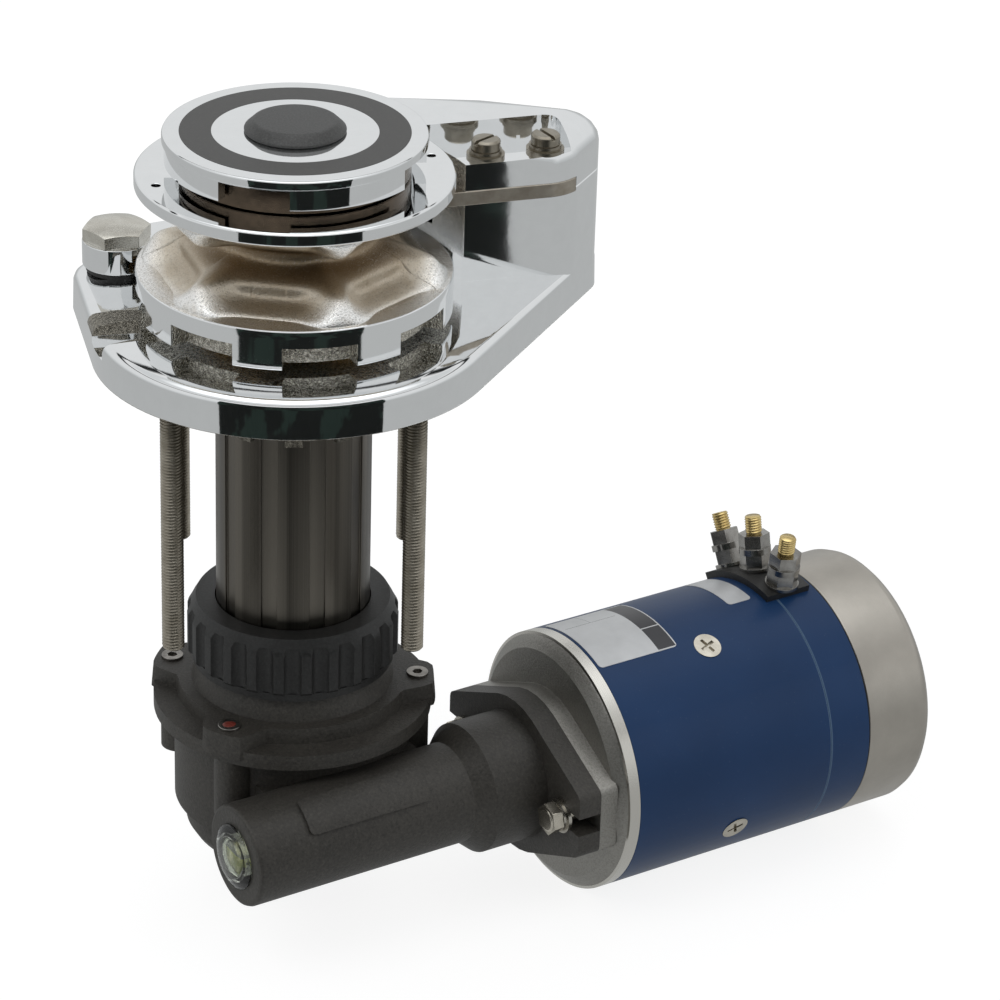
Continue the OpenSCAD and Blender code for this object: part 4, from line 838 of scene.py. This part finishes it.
class WINDLASS_OT_stage(bpy.types.Operator):
    """Makes the camera, the white room, the dark card that the chrome reflects and the soft lights"""
    bl_idname = "windlass.stage"
    bl_label = "Studio"

    def execute(self, context):
        studio = context.scene.windlass_studio
        scene = context.scene
        scene.view_settings.view_transform = "Standard"
        yaw, pitch, roll = studio.yaw, studio.pitch, studio.roll
        right = Vector((math.cos(yaw), math.sin(yaw), 0))
        level = Vector((-math.sin(yaw), math.cos(yaw), 0))
        forward = level * math.cos(pitch) - Vector((0, 0, 1)) * math.sin(pitch)
        up = right.cross(forward)
        across = right * math.cos(roll) + up * math.sin(roll)
        upright = up * math.cos(roll) - right * math.sin(roll)
        camera = link_object("Camera", bpy.data.cameras.new("Camera"))
        camera.data.lens = studio.lens
        camera.data.sensor_width = 36
        camera.data.clip_start = 0.05
        camera.data.clip_end = 20
        turn = Matrix((across, upright, -forward)).transposed().to_4x4()
        camera.matrix_world = Matrix.Translation(studio.place) @ turn
        scene.camera = camera
        self.room(scene, studio.sky)
        floor_z = CAD_BOX[0][2] - 0.5 * MM
        corners = [(-6, -4, floor_z), (6, -4, floor_z), (6, 6, floor_z), (-6, 6, floor_z)]
        floor = self.sheet("Floor", corners, [(0, 1, 2, 3)], self.floor_paint())
        self.card(floor_z)
        for name, place, aim, size, power in (
                ("Key", (-1.0, -0.9, 1.5), (0.05, 0, -0.05), 1.1, studio.key),
                ("Fill", (1.5, -0.8, 0.9), (0.1, 0, -0.1), 1.0, studio.key * 0.4),
                ("Back", (0.3, 1.6, 1.3), (0.1, 0, -0.05), 1.4, studio.key * 0.6)):
            lamp = bpy.data.lights.new(name, "AREA")
            lamp.energy = power
            lamp.size = size
            lamp_object = link_object(name, lamp)
            lamp_object.location = place
            lamp_object.rotation_euler = (Vector(place) - Vector(aim)).to_track_quat("Z", "Y").to_euler()
            lamp_object.visible_glossy = False
        return {"FINISHED"}

    def room(self, scene, strength):
        """White world: plain to the camera, softly graded in reflections."""
        world = bpy.data.worlds.new("White room")
        world.use_nodes = True
        scene.world = world
        g = Graph(world.node_tree)
        g.tree.nodes.clear()
        rays = g.add("ShaderNodeLightPath")
        direction = g.out(g.add("ShaderNodeTexCoord"), "Generated")
        height = g.out(g.add("ShaderNodeSeparateXYZ", Vector=direction), "Z")
        dark = (0.02, 0.022, 0.022)
        stops = [(0.0, (0.6, 0.61, 0.61)), (0.5, (0.62, 0.64, 0.645)), (0.62, (0.9, 0.915, 0.92)),
                 (0.785, (0.92, 0.93, 0.935)), (0.792, dark), (0.806, dark), (0.813, (1.0, 1.0, 1.0)),
                 (0.85, (0.8, 0.82, 0.83)), (1.0, (0.85, 0.86, 0.87))]
        grade = g.add("ShaderNodeValToRGB", {"stops": stops}, Fac=height * 0.5 + 0.5)
        ceiling = height.ramp(0.78, 0.95) * 1.3 + 0.9
        room = g.add("ShaderNodeBackground", Color=g.out(grade, "Color"), Strength=strength)
        mirror = g.add("ShaderNodeBackground", Color=g.out(grade, "Color"), Strength=ceiling)
        plain = g.add("ShaderNodeBackground", Color=(1, 1, 1), Strength=1.0)
        shiny = g.blend(g.out(rays, "Is Glossy Ray"), room, mirror)
        seen = g.blend(g.out(rays, "Is Camera Ray").most(g.out(rays, "Is Transmission Ray")), shiny, plain)
        g.add("ShaderNodeOutputWorld", Surface=g.out(seen, "Shader"))

    def floor_paint(self):
        """White floor that reads as the background and keeps a soft shadow."""
        f = Finish("floor_white", Base_Color=(0.86, 0.86, 0.86), Roughness=0.9)
        rays = f.add("ShaderNodeLightPath")
        glow = f.add("ShaderNodeEmission", Color=(1, 1, 1), Strength=1.22)
        grey = f.add("ShaderNodeEmission", Color=(0.5, 0.51, 0.51), Strength=1.0)
        lit = f.blend(f.out(rays, "Is Camera Ray") * 0.7, f.surface, glow)
        seen = f.blend(f.out(rays, "Is Glossy Ray"), lit, grey)
        f.feed(f.output, "Surface", f.out(seen, "Shader"))
        return f.material

    def sheet(self, name, points, faces, material):
        """Adds a sheet of the studio with its finish."""
        mesh = bpy.data.meshes.new(name)
        mesh.from_pydata(points, [], faces)
        mesh.materials.append(material)
        return link_object(name, mesh)

    def card(self, floor_z):
        """Dark curved card in front, seen only in reflections, as the opening of a photographer's tent."""
        points = []
        for i in range(CARD_STEPS + 1):
            t = math.radians(-127.5 + 83 * i / CARD_STEPS)
            for z in (floor_z + 1 * MM, CARD_TOP_Z):
                points.append((CARD_R * math.cos(t), CARD_R * math.sin(t), z))
        faces = [(2 * i, 2 * i + 2, 2 * i + 3, 2 * i + 1) for i in range(CARD_STEPS)]
        f = Finish("card_black", Roughness=0.95)
        f.set(Base_Color=f.mix(f.noise(9.0).ramp(0.48, 0.52), (0.006, 0.008, 0.007), (0.02, 0.036, 0.029)))
        card = self.sheet("Dark card", points, faces, f.material)
        for ray in ("camera", "diffuse", "shadow", "transmission", "volume_scatter"):
            setattr(card, "visible_" + ray, False)


class WINDLASS_OT_base(bpy.types.Operator):
    """Dresses the base casting, the hood, the stripper and their screws"""
    bl_idname = "windlass.base"
    bl_label = "Base and hood"

    def execute(self, context):
        chrome = list(context.scene.windlass_finish.chrome)

        def cast(f):
            drain = f.x.between(*DRAIN[0]) * f.y.between(*DRAIN[1]) * f.z.between(*DRAIN[2])
            inside = f.radius().between(*GUIDE_WALL_R) * f.z.ramp(*GUIDE_WALL_Z)
            return drain.most(f.z.below(0.2 * MM)).most(inside)

        skin = polished_chrome(chrome, "chrome_casting", cast)
        soften("base_casting", 0.5, material=skin)
        soften("chainpipe_hood", 0.5, material=skin)
        soften("chain_stripper", 0.35)
        dress("hood_washers")
        soften("hood_screws", 0.25)
        return {"FINISHED"}


class WINDLASS_OT_chainwheel(bpy.types.Operator):
    """Casts the chainwheel with its whelps and dresses the flange disc and cones"""
    bl_idname = "windlass.chainwheel"
    bl_label = "Chainwheel"

    def execute(self, context):
        wheel = context.scene.windlass_wheel
        mesh = chainwheel_mesh(wheel.pockets, wheel.notches, wheel.softness)
        add_piece("chainwheel_casting", mesh, "chainwheel", "cast_chrome", stands_for=["chainwheel"])
        soften("flange_disc", 0.3)
        dress("chainwheel_bush", "lower_clutch_cone")
        worn = brushed("worn_bronze", (0.12, 0.09, 0.064), (0.05, 0.04, 0.03), 0.24)
        soften("upper_clutch_cone", 0.3, material=worn)
        return {"FINISHED"}


class WINDLASS_OT_clutch(bpy.types.Operator):
    """Dresses the clutch nut, its blank inlay and the rubber plug"""
    bl_idname = "windlass.clutch"
    bl_label = "Clutch nut"

    def execute(self, context):
        soften("clutch_nut", 0.4)
        dress("inlay_ring")
        soften("socket_plug", 0.4, segments=3)
        return {"FINISHED"}


class WINDLASS_OT_pawl(bpy.types.Operator):
    """Dresses the pawl, its washer and its pivot bolt"""
    bl_idname = "windlass.pawl"
    bl_label = "Pawl"

    def execute(self, context):
        soften("pawl", 0.5)
        bright = brushed("bolt_steel", (0.66, 0.64, 0.58), (0.5, 0.47, 0.41), 0.26)
        soften("pawl_pivot_bolt", 0.3, material=bright)
        dress("pawl_washer")
        return {"FINISHED"}


class WINDLASS_OT_studs(bpy.types.Operator):
    """Cuts the threads of the four deck studs"""
    bl_idname = "windlass.studs"
    bl_label = "Deck studs"

    def execute(self, context):
        thread = context.scene.windlass_thread
        low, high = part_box("deck_studs")
        reach = (high.x - low.x) / 2 - 5 * MM
        centre = (low.z + high.z) / 2
        points = [(x * reach, y * reach, centre) for x in (-1, 1) for y in (-1, 1)]
        sizes = {"Radius": 5 * MM, "Depth": thread.stud_depth, "Pitch": thread.stud_pitch,
                 "Length": high.z - low.z}
        studs = grow_threads("stud_threads", points, [(0, 0, 1)] * 4, sizes, "stainless", "frame")
        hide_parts("deck_studs")
        return {"FINISHED"}


class WINDLASS_OT_tube(bpy.types.Operator):
    """Dresses the spacer tube, the ring nut and its collar"""
    bl_idname = "windlass.tube"
    bl_label = "Tube and ring nut"

    def execute(self, context):
        soften("spacer_tube", 0.3)
        soften("ring_nut", 0.7, segments=3)
        dress("ring_collar")
        return {"FINISHED"}


class WINDLASS_OT_gearbox(bpy.types.Operator):
    """Dresses the gearbox and adds its blank raised pad and the dab of seal paint"""
    bl_idname = "windlass.gearbox"
    bl_label = "Gearbox"

    def execute(self, context):
        soften("gearbox_cover", 0.7, segments=3)
        soften("gearbox_case", 0.9, segments=3)
        worn = brushed("screw_steel", (0.42, 0.4, 0.37), (0.16, 0.15, 0.14), 0.36)
        soften("cover_screws", 0.2, material=worn)
        pad = wrapped_plate("barrel_pad", -37, 25, 105, 147, 23.2, 1.9, 2.5)
        add_piece("barrel_pad", pad, "frame", "dark_paint")
        turn = math.radians(DAB_ANGLE)
        spot = Vector((DAB_R * math.cos(turn), DAB_R * math.sin(turn), DAB_Z)) * MM
        profile = [(0, 0.7), (1.4, 0.6), (2.4, 0.25), (2.8, -0.1), (0, -0.2)]
        place = Matrix.Translation(spot) @ Matrix.Scale(1.2, 4, (1, 0.4, 0))
        dab = lathe("seal_dab", [(r * MM, h * MM) for r, h in profile], place, 20)
        add_piece("seal_dab", dab, "frame", "dark_paint", red_paint())
        return {"FINISHED"}


class WINDLASS_OT_sight_glass(bpy.types.Operator):
    """Makes the clear dome of the sight glass with the oil behind it"""
    bl_idname = "windlass.sight_glass"
    bl_label = "Sight glass"

    def execute(self, context):
        oil = context.scene.windlass_finish.oil
        place = on_worm_axis(BARREL_END_A) @ Matrix.Rotation(math.pi, 4, "X")
        dome = [(0, 4.6), (3, 4.5), (7.6, 4.1), (10.6, 3.4), (12.6, 2.6), (14.3, 1.7), (15.1, 1.1),
                (15.1, 0.1), (10.8, 0.1), (10.8, -5.4), (9.6, -5.4), (9.6, 0.6), (9.0, 1.9), (6, 2.7),
                (2.5, 3.1), (0, 3.15)]
        mesh = lathe("sight_dome", [(r * MM, h * MM) for r, h in dome], place, 72)
        add_piece("sight_dome", mesh, "frame", "glass", stands_for=["sight_glass"])
        fill = [(0, 0.9), (5, 0.8), (9.2, 0.2), (9.4, -1.0), (9.4, -5.0), (0, -5.0)]
        mesh = lathe("sight_oil", [(r * MM, h * MM) for r, h in fill], place, 48)
        add_piece("sight_oil", mesh, "frame", "glass", gear_oil(list(oil)))
        return {"FINISHED"}


class WINDLASS_OT_motor(bpy.types.Operator):
    """Dresses the motor's bell, flange bolts, shell, cap and pole screws"""
    bl_idname = "windlass.motor"
    bl_label = "Motor"

    def execute(self, context):
        soften("motor_bell", 0.6, segments=3)
        plated = brushed("plated_steel", (0.62, 0.58, 0.5), (0.4, 0.37, 0.31), 0.24, 120.0, 0.00001)
        soften("flange_bolts", 0.25, material=plated)
        soften("pole_screws", 0.15, material=plated)
        dress("flange_bolt_washers")
        soften("motor_shell", 0.2)
        soften("motor_cap", 0.4)
        return {"FINISHED"}


class WINDLASS_OT_plates(bpy.types.Operator):
    """Fixes the two blank plates to the motor's shell"""
    bl_idname = "windlass.plates"
    bl_label = "Blank plates"

    def execute(self, context):
        bars = [(0.76, 0.985, 0.02, 0.66), (0.76, 0.985, 0.675, 0.985)]
        rules = [(0.06, 0.7, 0.3, 0.305), (0.38, 0.384, 0.02, 0.3)]
        white = bare_plate("plate_white", (0.66, 0.67, 0.68), bars + rules)
        large = wrapped_plate("large_plate", 112.5, 155, 66, 111, PLATE_R, 0.3, 2)
        add_piece("large_plate", large, "frame", "satin_silver", white)
        silver = bare_plate("plate_silver", (0.6, 0.61, 0.62))
        small = wrapped_plate("small_plate", 194, 207, 62, 96.5, PLATE_R, 0.3, 2)
        add_piece("small_plate", small, "frame", "satin_silver", silver)
        return {"FINISHED"}


class WINDLASS_OT_terminals(bpy.types.Operator):
    """Threads the terminal studs and dresses their strip and nuts"""
    bl_idname = "windlass.terminals"
    bl_label = "Terminals"

    def execute(self, context):
        thread = context.scene.windlass_thread
        soften("terminal_strip", 0.8, segments=3)
        steel = brushed("nut_steel", (0.42, 0.41, 0.39), (0.2, 0.19, 0.175), 0.22, scale=90.0, grain=0.00001)
        soften("terminal_nuts", 0.3, material=steel)
        dress("terminal_studs")
        middle = (TERMINAL_FOOT + TERMINAL_TOP) / 2
        points = [round_axis(TERMINAL_A, g, middle * MM) for g in TERMINAL_ANGLES]
        axes = [round_axis(0, g, 1) - AXIS_START for g in TERMINAL_ANGLES]
        sizes = {"Radius": TERMINAL_R * MM, "Depth": thread.terminal_depth,
                 "Pitch": thread.terminal_pitch, "Length": (TERMINAL_TOP - TERMINAL_FOOT) * MM}
        roots = brass_core()
        studs = grow_threads("terminal_threads", points, axes, sizes, "brass", "frame")
        add_piece("terminal_roots", roots, "frame", "brass")
        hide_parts("terminal_studs")
        return {"FINISHED"}


def brass_core():
    """The terminal studs' shanks and heads inside the motor, below their threads."""
    parts = bmesh.new()
    for g in TERMINAL_ANGLES:
        for radius, low, high, sides in ((3.42, 52, TERMINAL_FOOT + 1, 24), (7.4, 49.2, 53.2, 6)):
            made = bmesh.ops.create_cone(parts, cap_ends=True, segments=sides, radius1=radius * MM,
                                         radius2=radius * MM, depth=(high - low) * MM)
            aim = round_axis(0, g, 1) - AXIS_START
            turn = aim.to_track_quat("Z", "Y").to_matrix().to_4x4()
            place = Matrix.Translation(round_axis(TERMINAL_A, g, (low + high) / 2 * MM)) @ turn
            bmesh.ops.transform(parts, matrix=place, verts=made["verts"])
    mesh = bpy.data.meshes.new("terminal_roots")
    parts.to_mesh(mesh)
    parts.free()
    return mesh


class WINDLASS_OT_inner_parts(bpy.types.Operator):
    """Gives every part that stays as it was built the finish of its slot"""
    bl_idname = "windlass.inner_parts"
    bl_label = "Inner parts"

    def execute(self, context):
        for name, node in NODES.items():
            if not node.hide_render:
                dress(name)
        return {"FINISHED"}


PIECES = (WINDLASS_OT_stage, WINDLASS_OT_base, WINDLASS_OT_chainwheel, WINDLASS_OT_clutch,
          WINDLASS_OT_pawl, WINDLASS_OT_studs, WINDLASS_OT_tube, WINDLASS_OT_gearbox,
          WINDLASS_OT_sight_glass, WINDLASS_OT_motor, WINDLASS_OT_plates, WINDLASS_OT_terminals,
          WINDLASS_OT_inner_parts)
GROUPS = (("windlass_finish", FinishSettings), ("windlass_thread", ThreadSettings),
          ("windlass_wheel", WheelSettings), ("windlass_studio", StudioSettings))


class WINDLASS_PT_panel(bpy.types.Panel):
    """Sizes, colours and the buttons that make each piece"""
    bl_label = "Anchor windlass"
    bl_idname = "WINDLASS_PT_panel"
    bl_space_type = "VIEW_3D"
    bl_region_type = "UI"
    bl_category = "Windlass"

    def draw(self, context):
        for name, group in GROUPS:
            box = self.layout.box()
            for field in group.__annotations__:
                box.prop(getattr(context.scene, name), field)
        for piece in PIECES:
            self.layout.operator(piece.bl_idname)


def register():
    for _, group in GROUPS:
        bpy.utils.register_class(group)
    for name, group in GROUPS:
        setattr(bpy.types.Scene, name, PointerProperty(type=group))
    for piece in (*PIECES, WINDLASS_PT_panel):
        bpy.utils.register_class(piece)


def unregister():
    for piece in (WINDLASS_PT_panel, *reversed(PIECES)):
        bpy.utils.unregister_class(piece)
    for name, group in reversed(GROUPS):
        delattr(bpy.types.Scene, name)
        bpy.utils.unregister_class(group)


def main():
    register()
    for piece in PIECES:
        group, name = piece.bl_idname.split(".")
        getattr(getattr(bpy.ops, group), name)()


if __name__ == "__main__":
    main()
